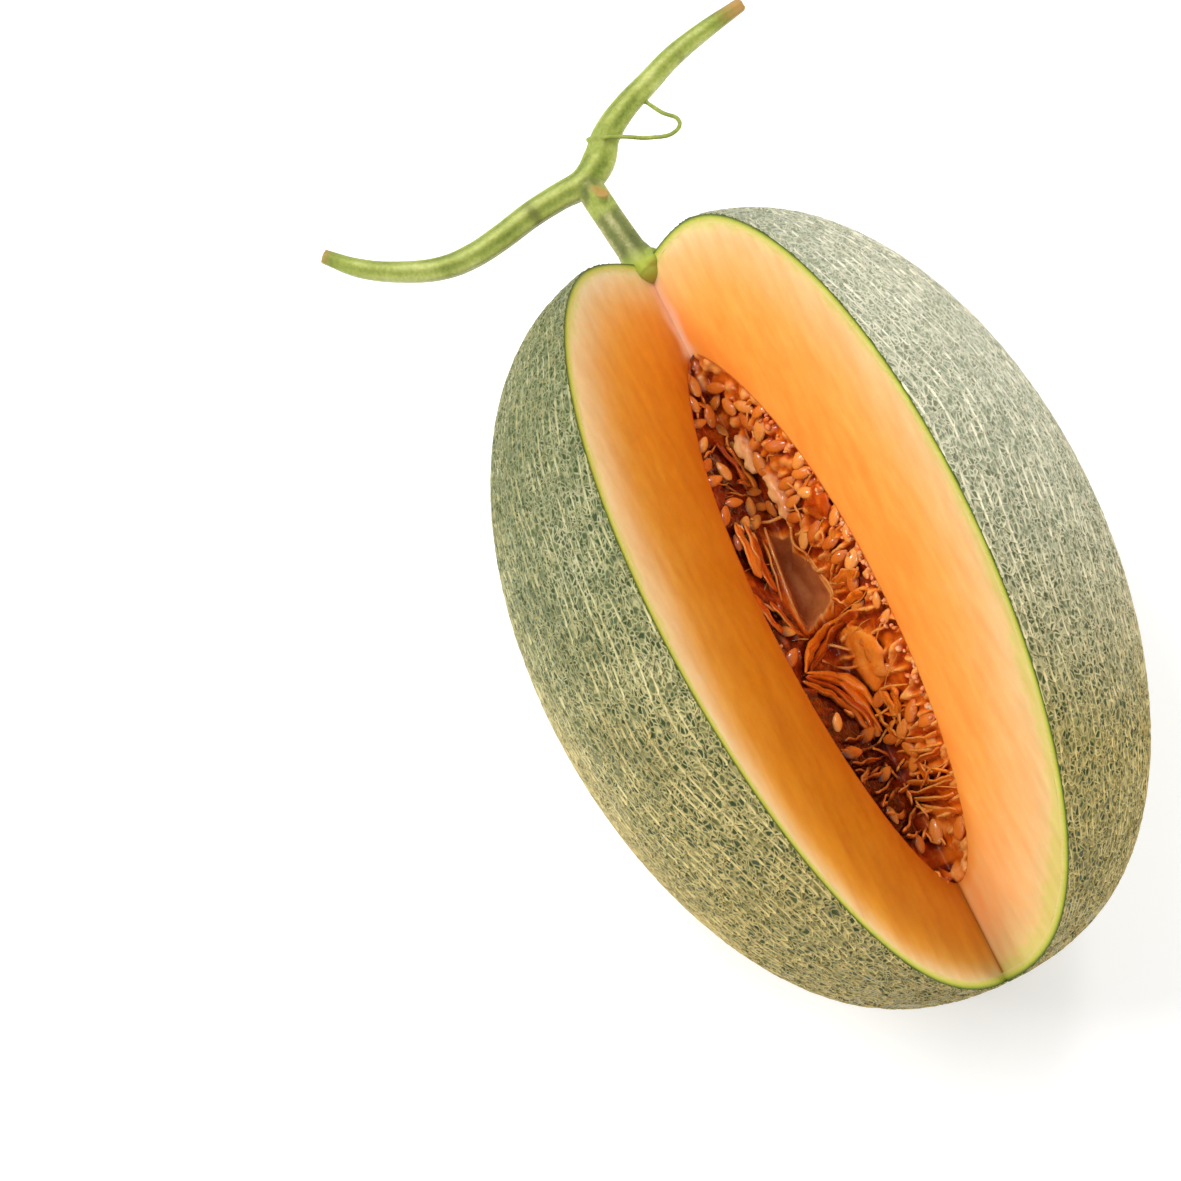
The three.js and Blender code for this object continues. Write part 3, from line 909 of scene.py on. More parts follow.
pulp = {
    "inset": 0.0002,
    # mouth of the hollow, as places across and along the melon, and how it runs in
    "hollowMouth": [(-0.0029, 0.0259), (0.0004, 0.0254), (0.0030, 0.0233), (0.0017, 0.0185),
                    (0.0035, 0.0134), (0.0043, 0.0067), (0.0051, 0.0001), (0.0024, -0.0047),
                    (-0.0020, -0.0066), (-0.0059, -0.0071), (-0.0060, -0.0010), (-0.0053, 0.0059),
                    (-0.0045, 0.0141), (-0.0036, 0.0205)],
    "hollowFrom": -0.014,
    "hollowTo": 0.017,
    "hollowEnd": (-0.0034, 0.0110),
    "hollowTaper": 0.45,
    # how deep the mass lies below the two cut walls, and how deep the tops of its lumps lie
    "massLeft": 0.0085,
    "massRight": 0.0070,
    "topLeft": 0.0024,
    "topRight": 0.0005,
    "topTip": -0.0006,
    # lumps: half-sizes along the wall, into it and along the melon, then their spacing across and
    # along; where each kind lies
    "lumps": {
        "tip": ((0.0022, 0.0030, 0.0018), 0.0030, 0.0020),
        "stemEnd": ((0.0030, 0.0030, 0.0021), 0.0052, 0.0046),
        "right": ((0.0066, 0.0034, 0.00095), 0.0090, 0.0033),
        "middleLeft": ((0.0009, 0.0032, 0.0064), 0.0036, 0.0085),
        "lowLeft": ((0.0050, 0.0032, 0.0013), 0.0078, 0.0034),
    },
    "tipReach": 0.0085,
    "stemZone": 0.022,
    "middleZone": -0.014,
    "lumpSpan": (-0.0885, 0.0875),
    "voxel": 0.00062,
    "ripple": 0.0006,
    # behind this depth, and this far from the hollow, the mass keeps only a share of its faces
    "hiddenDepth": 0.0125,
    "hiddenGap": 0.003,
    "hiddenShare": 0.06,
    # lumps that fill the two tips, and their sizes
    "tipLumps": [((0.0004, 0.0044, 0.0822), 0.0034), ((-0.0006, 0.0048, 0.0775), 0.0038),
                 ((0.0022, 0.0046, 0.0795), 0.0030), ((0.0026, 0.0012, -0.0880), 0.0030)],
    # colours from the gaps to the tops, where dark is painted shade and lit is painted light
    "amber": (228, 112, 18),
    "lit": (250, 172, 86),
    "red": (160, 50, 8),
    "dark": (92, 24, 7),
    "pale": (248, 188, 130),
    "hollowDark": (192, 106, 44),
    "hollowPale": (228, 148, 84),
}


def wallFrame(side):
    # directions along and into a cut wall of the cavity; side is 1 on the right and -1 on the left
    a = melon["notchHalfAngle"]
    along = Vector((side * math.sin(a), -math.cos(a), 0))
    into = Vector((side * math.cos(a), math.sin(a), 0))
    return along, into


def topOf(side):
    return pulp["topRight"] if side > 0 else pulp["topLeft"]


def cavityRadiusAt(z):
    c = np.clip((z - cavity["centre"]) / cavity["halfLength"], -1, 1)
    return cavityAt(np.arccos(c))[0]


def mouthGap(points):
    # distance of points from the line of the hollow's mouth, across and along the melon, and
    # below zero inside it
    mouth = np.array(pulp["hollowMouth"])
    flat = np.atleast_2d(points)[:, [0, 2]]
    gap = np.full(len(flat), 1.0)
    inside = np.zeros(len(flat), bool)
    for a, b in zip(mouth, np.roll(mouth, -1, 0)):
        run = b - a
        t = np.clip(((flat - a) @ run) / (run @ run), 0, 1)
        gap = np.minimum(gap, np.linalg.norm(flat - a - t[:, None] * run, axis=1))
        crosses = (a[1] > flat[:, 1]) != (b[1] > flat[:, 1])
        inside ^= crosses & (flat[:, 0] < a[0] + (flat[:, 1] - a[1]) * run[0] / (run[1] or 1e-9))
    return np.where(inside, -gap, gap)


def makeHollowTool():
    # a funnel with an uneven mouth that narrows and leans over as it runs in
    steps = 14
    bpy.ops.mesh.primitive_cylinder_add(vertices=84, radius=1, depth=1)
    tool = bpy.context.object
    startEdit(tool, "SELECT")
    bpy.ops.mesh.bisect(plane_co=(0, 0, 0), plane_no=(0, 0, 1))
    bpy.ops.mesh.select_all(action="SELECT")
    for level in range(1, steps):
        bpy.ops.mesh.select_all(action="SELECT")
        bpy.ops.mesh.bisect(plane_co=(0, 0, level / steps - 0.5), plane_no=(0, 0, 1))
    endEdit()
    points = readPoints(tool)
    turn = (np.arctan2(points[:, 1], points[:, 0]) / (2 * math.pi)) % 1
    deep = points[:, 2] + 0.5
    mouth = np.array(pulp["hollowMouth"] + pulp["hollowMouth"][:1])
    marks = np.linspace(0, 1, len(mouth))
    spots = np.stack([np.interp(turn, marks, mouth[:, k]) for k in (0, 1)], 1)
    narrow = 1 - (1 - pulp["hollowTaper"]) * np.clip((deep - 0.35) / 0.65, 0, 1) ** 1.3
    end = np.array(pulp["hollowEnd"])
    spots = end + (spots - end) * narrow[:, None]
    y = pulp["hollowFrom"] + (pulp["hollowTo"] - pulp["hollowFrom"]) * deep
    places = np.stack([spots[:, 0], y, spots[:, 1]], 1)
    wobble = np.array([noise.noise_vector(Vector(p * 260)) for p in places]) * 0.0005
    places[:, [0, 2]] += wobble[:, [0, 2]] * np.clip((1 - deep) * 8, 0, 1)[:, None]
    writePoints(tool, places)
    startEdit(tool, "SELECT")
    bpy.ops.mesh.quads_convert_to_tris()
    bpy.ops.mesh.normals_make_consistent(inside=False)
    endEdit()
    return tool


def valleySpot(x, deep, z):
    # a place given across the melon, behind the cut walls and along the melon
    return Vector((x, deep - abs(x) / math.tan(melon["notchHalfAngle"]), z))


def makePulpBase():
    base = makeCavityForm(72, 96, pulp["inset"])
    tool = makeNotchTool()
    points = readPoints(tool)
    left = points[:, 0] < -1e-6
    right = points[:, 0] > 1e-6
    middle = ~(left | right)
    points[left] += np.array(wallFrame(-1)[1]) * pulp["massLeft"]
    points[right] += np.array(wallFrame(1)[1]) * pulp["massRight"]
    points[middle, 1] += (pulp["massLeft"] + pulp["massRight"]) * 0.38
    writePoints(tool, points)
    cutBy(base, tool)
    return base


def lumpPlan(rng):
    # side, distance from the axis, depth, height and half-sizes of each lump: along the wall,
    # into it and along the melon
    plan = []
    for side in (1, -1):
        top = topOf(side)
        z, end = pulp["lumpSpan"]
        while z < end:
            reach = float(cavityRadiusAt(z))
            isTip = reach < pulp["tipReach"]
            if isTip:
                kind = "tip"
            elif z > pulp["stemZone"]:
                kind = "stemEnd"
            elif side > 0:
                kind = "right"
            else:
                kind = "middleLeft" if z > pulp["middleZone"] else "lowLeft"
            shape, step, rise = pulp["lumps"][kind]
            d = reach - shape[0] * rng.uniform(0.1, 0.7)
            while d > 0.0005:
                size = [v * rng.uniform(0.7, 1.3) for v in shape]
                deep = (pulp["topTip"] if isTip else top) + size[1] + abs(rng.gauss(0, 0.0009))
                plan.append((side, d, deep, z + rng.uniform(-0.5, 0.5) * rise, size,
                             rng.gauss(0, 0.24), rng.gauss(0, 0.22)))
                d -= step * rng.uniform(0.8, 1.2)
            z += rise * rng.uniform(0.85, 1.15)
    return plan


def cordParts():
    # the lumpy pale cord down the middle of the seed mass
    rng = random.Random(8)
    parts = []
    for route in strands["cords"]:
        cord = [(valleySpot(*spot), size) for spot, size in route]
        parts.append(addLimb([spot for spot, size in cord], [size for spot, size in cord]))
        for (low, size), (high, _) in zip(cord[:-1], cord[1:]):
            for _ in range(2):
                spot = low.lerp(high, rng.random()) + Vector((rng.uniform(-1, 1) * size, 0.0002, 0))
                bpy.ops.mesh.primitive_ico_sphere_add(subdivisions=2, radius=1, location=spot)
                knot = bpy.context.object
                knot.scale = [size * rng.uniform(*span) for span in strands["knotSpans"]]
                bpy.ops.object.transform_apply(location=True, rotation=True, scale=True)
                parts.append(knot)
    return parts


def makePulpMass():
    rng = random.Random(4)
    base = makePulpBase()
    bpy.ops.mesh.primitive_ico_sphere_add(subdivisions=2, radius=1)
    model = bpy.context.object
    cords = cordParts()
    parts = [base] + cords
    for side, d, deep, z, size, twist, tip in lumpPlan(rng):
        along, into = wallFrame(side)
        spot = along * d + into * deep + Vector((0, 0, z))
        if mouthGap(spot)[0] < 0.0012:
            continue
        lie = Matrix((along, into, Vector((0, 0, side)))).transposed().to_4x4()
        turn = Euler((tip, twist, rng.gauss(0, 0.2))).to_matrix().to_4x4()
        lump = copyMesh(model)
        lump.data.transform(Matrix.Translation(spot) @ lie @ turn @ Matrix.Diagonal((*size, 1)))
        parts.append(lump)
    for spot, size in pulp["tipLumps"]:
        lump = copyMesh(model)
        lump.data.transform(Matrix.Translation(spot) @ Matrix.Diagonal((size, size, size * 1.2, 1)))
        parts.append(lump)
    bpy.data.objects.remove(model)
    cordPoints = np.concatenate([readPoints(cord) for cord in cords])
    mass = joinInto(parts, "pulp_mass")
    applyModifier(mass, "REMESH", mode="VOXEL", voxel_size=pulp["voxel"])
    hollow = makeHollowTool()
    hollowWall = BVHTree.FromPolygons([v.co for v in hollow.data.vertices],
                                      [face.vertices for face in hollow.data.polygons])
    cutBy(mass, hollow)

    # what the flesh hides needs few faces
    centres = np.array([face.center for face in mass.data.polygons])
    hidden = (depthInPulp(centres) > pulp["hiddenDepth"]) & (mouthGap(centres) > pulp["hiddenGap"])
    selectWhere(mass, hidden, "FACE")
    bpy.ops.mesh.decimate(ratio=pulp["hiddenShare"])
    endEdit()
    return mass, cordPoints, hollowWall


def depthInPulp(points):
    # how far points lie behind the cut walls
    walls = [points @ np.array(wallFrame(side)[1]) for side in (1, -1)]
    return np.maximum(*walls)


def markPaintedLight(wetPieces, cell=0.0005, span=4):
    # on every wet piece, painted light and shade: how far each point stands out from what lies around it,
    # from 0 in a shaded gap to 1 on a lit top
    columns, rows = 140, 400
    top = np.full((columns, rows), np.inf)

    def cellsOf(points):
        return (np.clip((points[:, 0] + 0.035) / cell, 0, columns - 1).astype(int),
                np.clip((points[:, 2] + 0.1) / cell, 0, rows - 1).astype(int))

    for piece in wetPieces:
        points = readPoints(piece)
        np.minimum.at(top, cellsOf(points), depthInPulp(points))
    known = np.isfinite(top)
    top[~known] = 0
    level, count = np.zeros_like(top), np.zeros_like(top)
    for i in range(-span, span + 1):
        for k in range(-span, span + 1):
            level += np.roll(top, (i, k), (0, 1))
            count += np.roll(known.astype(float), (i, k), (0, 1))
    level /= np.maximum(count, 1)
    for piece in wetPieces:
        points = readPoints(piece)
        deep = depthInPulp(points)
        soft = np.array([noise.noise(Vector(p * 130)) for p in points])
        rise = level[cellsOf(points)] - deep
        # painted shade: the left side and the blossom end of the mass are darker
        rightward = np.clip(0.5 + points[:, 0] / 0.018, 0, 1)
        low = np.clip((-points[:, 2] - 0.018) / 0.028, 0, 1)
        lean = 0.34 * (rightward - 0.55) + low * (0.16 * rightward - 0.34 * (1 - rightward))
        # tops that stand out and lie near the cut walls are painted lit, and deep gaps are painted in shade
        stand = 0.50 + rise / 0.0042 + (0.0034 - deep) / 0.014
        writeAttribute(piece, "paintedLight", np.clip(stand + 0.14 * soft + lean, 0, 1))


def paintGapShade(tree, x, y, colours, low, high):
    # paints shade: darkens a colour towards the deep gaps
    paintedLight = readMark(tree, "paintedLight", low, high, x - 400, y)
    return mixColours(tree, x, y, paintedLight, colour(*pulp["dark"]), colours)


def shapePulp(mass, cordPoints, hollowWall):
    points = readPoints(mass)
    normals = readPoints(mass, "normal")
    deep = depthInPulp(points)
    hollow = np.array([hollowWall.find_nearest(Vector(p), 0.00012)[0] is not None for p in points])
    ripple = np.array([0.6 * noise.noise(Vector(p * 230)) + 0.5 * noise.noise(Vector(p * 520))
                       for p in points])
    shown = np.clip((0.011 - deep) / 0.003, 0, 1) * ~hollow
    points += normals * (pulp["ripple"] * ripple * shown)[:, None]
    writePoints(mass, points)
    applyModifier(mass, "SMOOTH", factor=0.5, iterations=1)
    writeAttribute(mass, "hollow", hollow)
    near = np.full(len(points), 1.0)
    look = np.flatnonzero(deep < 0.008)
    for part in partsOf(len(look), 2000):
        gaps = points[look[part], None, :] - cordPoints[None, :, :]
        near[look[part]] = np.sqrt((gaps ** 2).sum(2).min(1))
    writeAttribute(mass, "cord", np.clip(1 - near / 0.0015, 0, 1))
    smoothShade(mass)
    return mass


def makePulpMaterial():
    material, tree, shader, place = newMaterial("wet_pulp")
    mottle = mottleAt(tree, -1000, place, 90.0, 700.0, 0.4)
    # the tissue's colour runs from painted shade in the gaps to painted light on the tops
    mixed = blended(tree, -600, 200, 0.35, readMark(tree, "paintedLight", 0.0, 1.0, -1100, 300), mottle)
    tissue = ramped(tree, -400, 300, mixed, [
        (0.22, pulp["dark"]), (0.40, pulp["red"]), (0.58, pulp["amber"]), (0.80, pulp["lit"])])
    smooth = ramped(tree, -400, 0, mottle, [(0.3, pulp["hollowDark"]), (0.7, pulp["hollowPale"])])
    isHollow = readMark(tree, "hollow", 0.0, 1.0, -1100, -300)
    isCord = readMark(tree, "cord", 0.0, 1.5, -1100, -500)
    corded = mixColours(tree, -150, 300, isCord, tissue, colour(*pulp["pale"]))
    damp = dampAt(tree, place, 260.0, 0.08, 0.32)
    dressShader(tree, shader, {
        "Base Color": mixColours(tree, 0, 200, isHollow, corded, smooth),
        "Roughness": calc(tree, 150, -100, "MULTIPLY_ADD", isHollow, 0.45, damp),
        "Subsurface Weight": 0.2,
        "Subsurface Radius": (1.0, 0.30, 0.08),
        "Subsurface Scale": 0.0014,
        "Coat Weight": spanned(tree, 300, -500, isHollow, 0.0, 1.0, 1.0, 0.0),
        "Coat Roughness": 0.05,
    }, (mottle, 0.5, 0.0004))
    return material


seeds = {
    "length": 0.0086,
    "width": 0.0047,
    "thickness": 0.0019,
    "pitch": 0.0052,
    "shell": (222, 124, 38),
    "shellDark": (196, 90, 20),
    "shellPale": (242, 168, 80),
    # the seeds that show best: across, along, degrees from the axis, size
    "shown": [(-0.0032, 0.0752, 8, 0.95), (0.0026, 0.0719, 114, 0.85), (-0.0030, 0.0646, 12, 0.9),
              (0.0070, 0.0604, 137, 0.8), (0.0058, 0.0570, -18, 0.85), (0.0081, 0.0522, 47, 0.95),
              (0.0099, 0.0560, 87, 0.7), (0.0098, 0.0443, 107, 0.85), (0.0140, 0.0362, 67, 0.9),
              (0.0033, 0.0645, -13, 0.8), (-0.0114, 0.0427, 87, 0.8), (0.0079, 0.0337, 82, 0.8),
              (0.0126, 0.0327, 97, 0.85), (0.0072, 0.0284, 87, 0.7), (0.0115, 0.0271, 117, 0.8),
              (0.0057, 0.0242, 107, 0.75), (0.0150, 0.0163, 57, 0.8), (-0.0091, 0.0549, 47, 0.7),
              (-0.0108, 0.0481, 60, 0.75), (-0.0069, 0.0459, -20, 0.8), (-0.0127, 0.0313, 40, 0.8),
              (-0.0084, 0.0353, 100, 0.7), (0.0052, 0.0177, 42, 0.8), (0.0086, 0.0171, 60, 0.85),
              (-0.0014, -0.0388, -3, 1.05), (-0.0105, -0.0455, 102, 0.85), (0.0056, -0.0448, 57, 0.8),
              (0.0097, -0.0420, 47, 0.85), (0.0019, -0.0455, 97, 0.75), (-0.0104, -0.0360, 30, 0.7),
              (0.0123, -0.0467, 87, 0.8), (0.0146, -0.0107, 30, 0.6), (0.0148, -0.0160, 60, 0.6),
              (0.0158, 0.0100, 20, 0.7), (0.0110, 0.0112, 87, 0.8), (0.0113, 0.0062, 80, 0.75),
              (-0.0107, 0.0152, 20, 0.7), (-0.0060, 0.0690, -5, 0.75), (0.0005, 0.0690, 60, 0.7)],
    "bedded": 0.0021,
    # the others: how likely in each zone, how far from the seeds above and from the hollow
    "chances": {"stemEnd": 0.42, "right": 0.24, "left": 0.12},
    "stemZone": 0.018,
    "apart": 0.0040,
    "fromMouth": 0.0028,
    "span": (-0.076, 0.078),
}


def makeOneSeed():
    bpy.ops.mesh.primitive_uv_sphere_add(segments=10, ring_count=8, radius=0.5)
    seed = bpy.context.object
    points = readPoints(seed)
    t = points[:, 2]
    narrow = 1 - 0.75 * np.clip(t, 0, 1) ** 1.2
    points[:, 0] *= seeds["width"] * narrow
    points[:, 1] *= seeds["thickness"] * narrow
    points[:, 2] *= seeds["length"]
    writePoints(seed, points)
    return seed


def scatterSeeds():
    rng = random.Random(21)
    model = makeOneSeed()
    copies = []

    def bed(x, deep, z, turn, size):
        # a seed half turned from its wall towards the opening
        spot = valleySpot(x, deep, z)
        side = 1 if x > 0 else -1
        stray = Vector([rng.gauss(0, 0.16) for _ in range(3)])
        face = (wallFrame(side)[1] + Vector((0, 1, 0)) + stray).normalized()
        long = Vector((math.sin(turn), 0, math.cos(turn)))
        long = (long - face * long.dot(face)).normalized()
        lie = Matrix((face.cross(long), face, long)).transposed().to_4x4()
        seed = copyMesh(model)
        seed.data.transform(Matrix.Translation(spot) @ lie @ Matrix.Scale(size, 4))
        writeAttribute(seed, "shade", [rng.random()] * len(seed.data.vertices))
        copies.append(seed)

    for x, z, turn, size in seeds["shown"]:
        bed(x, seeds["bedded"] + rng.uniform(0, 0.0008), z, math.radians(turn), size)
    shown = np.array(seeds["shown"])[:, :2]
    for side in (1, -1):
        z, end = seeds["span"]
        while z < end:
            reach = float(cavityRadiusAt(z)) * math.sin(melon["notchHalfAngle"])
            x = 0.0015
            while x < reach - 0.0008:
                stray = [rng.uniform(-1, 1) * 0.0008, rng.uniform(-1, 1) * 0.0015]
                spot = np.array((side * x, z)) + stray
                clear = np.linalg.norm(shown - spot, axis=1).min() > seeds["apart"]
                zone = "stemEnd" if z > seeds["stemZone"] else ("right" if side > 0 else "left")
                chosen = clear and rng.random() < seeds["chances"][zone]
                if chosen and mouthGap(np.array((spot[0], 0, spot[1])))[0] > seeds["fromMouth"]:
                    deep = seeds["bedded"] + rng.uniform(0.0008, 0.0032)
                    bed(spot[0], deep, spot[1], rng.uniform(0, math.pi), rng.uniform(0.65, 0.95))
                x += rng.uniform(0.5, 0.75) * seeds["pitch"]
            z += rng.uniform(0.8, 1.2) * seeds["pitch"]
    bpy.data.objects.remove(model)
    joined = joinInto(copies, "seeds_in_pulp")
    smoothShade(joined)
    print("seeds", len(copies))
    return joined


def makeSeedMaterial():
    material, tree, shader, place = newMaterial("seed_husk")
    mottle = mottleAt(tree, -1000, place, 300.0, 1400.0, 0.5)
    mixed = blended(tree, -600, 200, 0.5, readMark(tree, "shade", 0.0, 1.0, -1100, 300), mottle)
    husk = ramped(tree, -400, 300, mixed, [
        (0.2, seeds["shellDark"]), (0.5, seeds["shell"]), (0.8, seeds["shellPale"])])
    dressShader(tree, shader, {
        # painted shade in the deep gaps
        "Base Color": paintGapShade(tree, -100, 200, husk, 0.12, 0.66),
        "Roughness": dampAt(tree, place, 400.0, 0.12, 0.32),
        "Subsurface Weight": 0.2,
        "Subsurface Radius": (1.0, 0.5, 0.25),
        "Subsurface Scale": 0.0015,
        "Coat Weight": 0.8,
        "Coat Roughness": 0.06,
    }, (mottle, 0.3, 0.0002))
    return material


strands = {
    # places are across the melon, behind the cut walls and along the melon, with half-thickness
    "cords": [[((0.0012, 0.0026, 0.0562), 0.0008), ((0.0018, 0.0022, 0.0525), 0.0017),
               ((0.0021, 0.0022, 0.0480), 0.0018), ((0.0020, 0.0026, 0.0438), 0.0010)],
              [((0.0032, 0.0030, 0.0408), 0.0009), ((0.0042, 0.0032, 0.0375), 0.0018),
               ((0.0046, 0.0034, 0.0332), 0.0020), ((0.0046, 0.0034, 0.0294), 0.0015),
               ((0.0030, 0.0030, 0.0268), 0.0009)]],
    # pale rims of the hollow and the thin fibres below it
    "threads": [([(-0.0034, 0.0045, 0.0268), (-0.0046, 0.0052, 0.0190), (-0.0053, 0.0058, 0.0120),
                  (-0.0062, 0.0064, 0.0040), (-0.0068, 0.0070, -0.0060)], 0.00055),
                ([(0.0036, 0.0040, 0.0235), (0.0022, 0.0034, 0.0190), (0.0040, 0.0042, 0.0140),
                  (0.0050, 0.0050, 0.0070), (0.0058, 0.0056, 0.0005), (0.0032, 0.0046, -0.0050)],
                 0.00050),
                ([(-0.0070, 0.0050, -0.0120), (-0.0020, 0.0038, -0.0128), (0.0030, 0.0044, -0.0172)],
                 0.00045),
                ([(-0.0066, 0.0058, -0.0150), (-0.0004, 0.0050, -0.0176), (0.0042, 0.0044, -0.0166)],
                 0.00028),
                ([(-0.0060, 0.0056, -0.0168), (-0.0016, 0.0046, -0.0204), (0.0036, 0.0040, -0.0226)],
                 0.00050),
                ([(-0.0060, 0.0042, 0.0300), (-0.0020, 0.0030, 0.0282), (0.0030, 0.0034, 0.0274)],
                 0.00050)],
    # shares of the cord's size that a knot may have across, in and along
    "knotSpans": ((0.7, 1.2), (0.6, 1.0), (0.9, 1.8)),
    "fibreRadius": 0.00028,
    "fibres": 26,
    "fibreProfile": (0.5, 1.1, 1.0, 1.1, 0.4),
    "pale": (246, 168, 84),
    "deep": (226, 112, 24),
}


def addLimb(route, radii, sides=8, profile=None):
    # a tube along a smooth curve through the route, with its own radius at each point
    data = bpy.data.curves.new("limb", "CURVE")
    data.dimensions = "3D"
    data.resolution_u = 6
    data.bevel_depth = 1.0
    data.bevel_resolution = max(sides // 4, 1)
    data.use_fill_caps = True
    if profile:
        data.bevel_mode = "OBJECT"
        data.bevel_object = profile
    spline = data.splines.new("BEZIER")
    spline.bezier_points.add(len(route) - 1)
    for point, spot, size in zip(spline.bezier_points, route, radii):
        point.co = spot
        point.handle_left_type = point.handle_right_type = "AUTO"
        point.radius = size
    limb = bpy.data.objects.new("limb", data)
    bpy.context.collection.objects.link(limb)
    pick(limb)
    bpy.ops.object.convert(target="MESH")
    return bpy.context.object


def makeStrands():
    rng = random.Random(18)
    parts = []
    for route, size in strands["threads"]:
        spots = [valleySpot(*spot) for spot in route]
        parts.append(addLimb(spots, [size * rng.uniform(0.7, 1.2) for _ in spots], 6))
    for _ in range(strands["fibres"]):
        z = rng.uniform(-0.072, 0.062)
        reach = float(cavityRadiusAt(z))
        side = rng.choice((-1, 1))
        along, into = wallFrame(side)
        top = topOf(side)
        a = rng.uniform(0.0, 0.3) * reach
        b = rng.uniform(0.5, 0.95) * reach
        slide = rng.uniform(-0.010, 0.012)
        sag = rng.uniform(0.0005, 0.0025)
        points = []
        for t in np.linspace(0, 1, len(strands["fibreProfile"])).tolist():
            deep = top + 0.0020 - sag * math.sin(math.pi * t) + rng.uniform(-1, 1) * 0.0003
            p = along * (a + (b - a) * t) + into * deep
            points.append(p + Vector((0, 0, z + slide * t + rng.uniform(-1, 1) * 0.0010)))
        size = strands["fibreRadius"] * rng.uniform(0.5, 1.4)
        parts.append(addLimb(points, [size * share for share in strands["fibreProfile"]], 6))
    joined = joinInto(parts, "pulp_fibres")
    startEdit(joined, "SELECT")
    bpy.ops.mesh.remove_doubles(threshold=1e-6)
    endEdit()
    smoothShade(joined)
    return joined


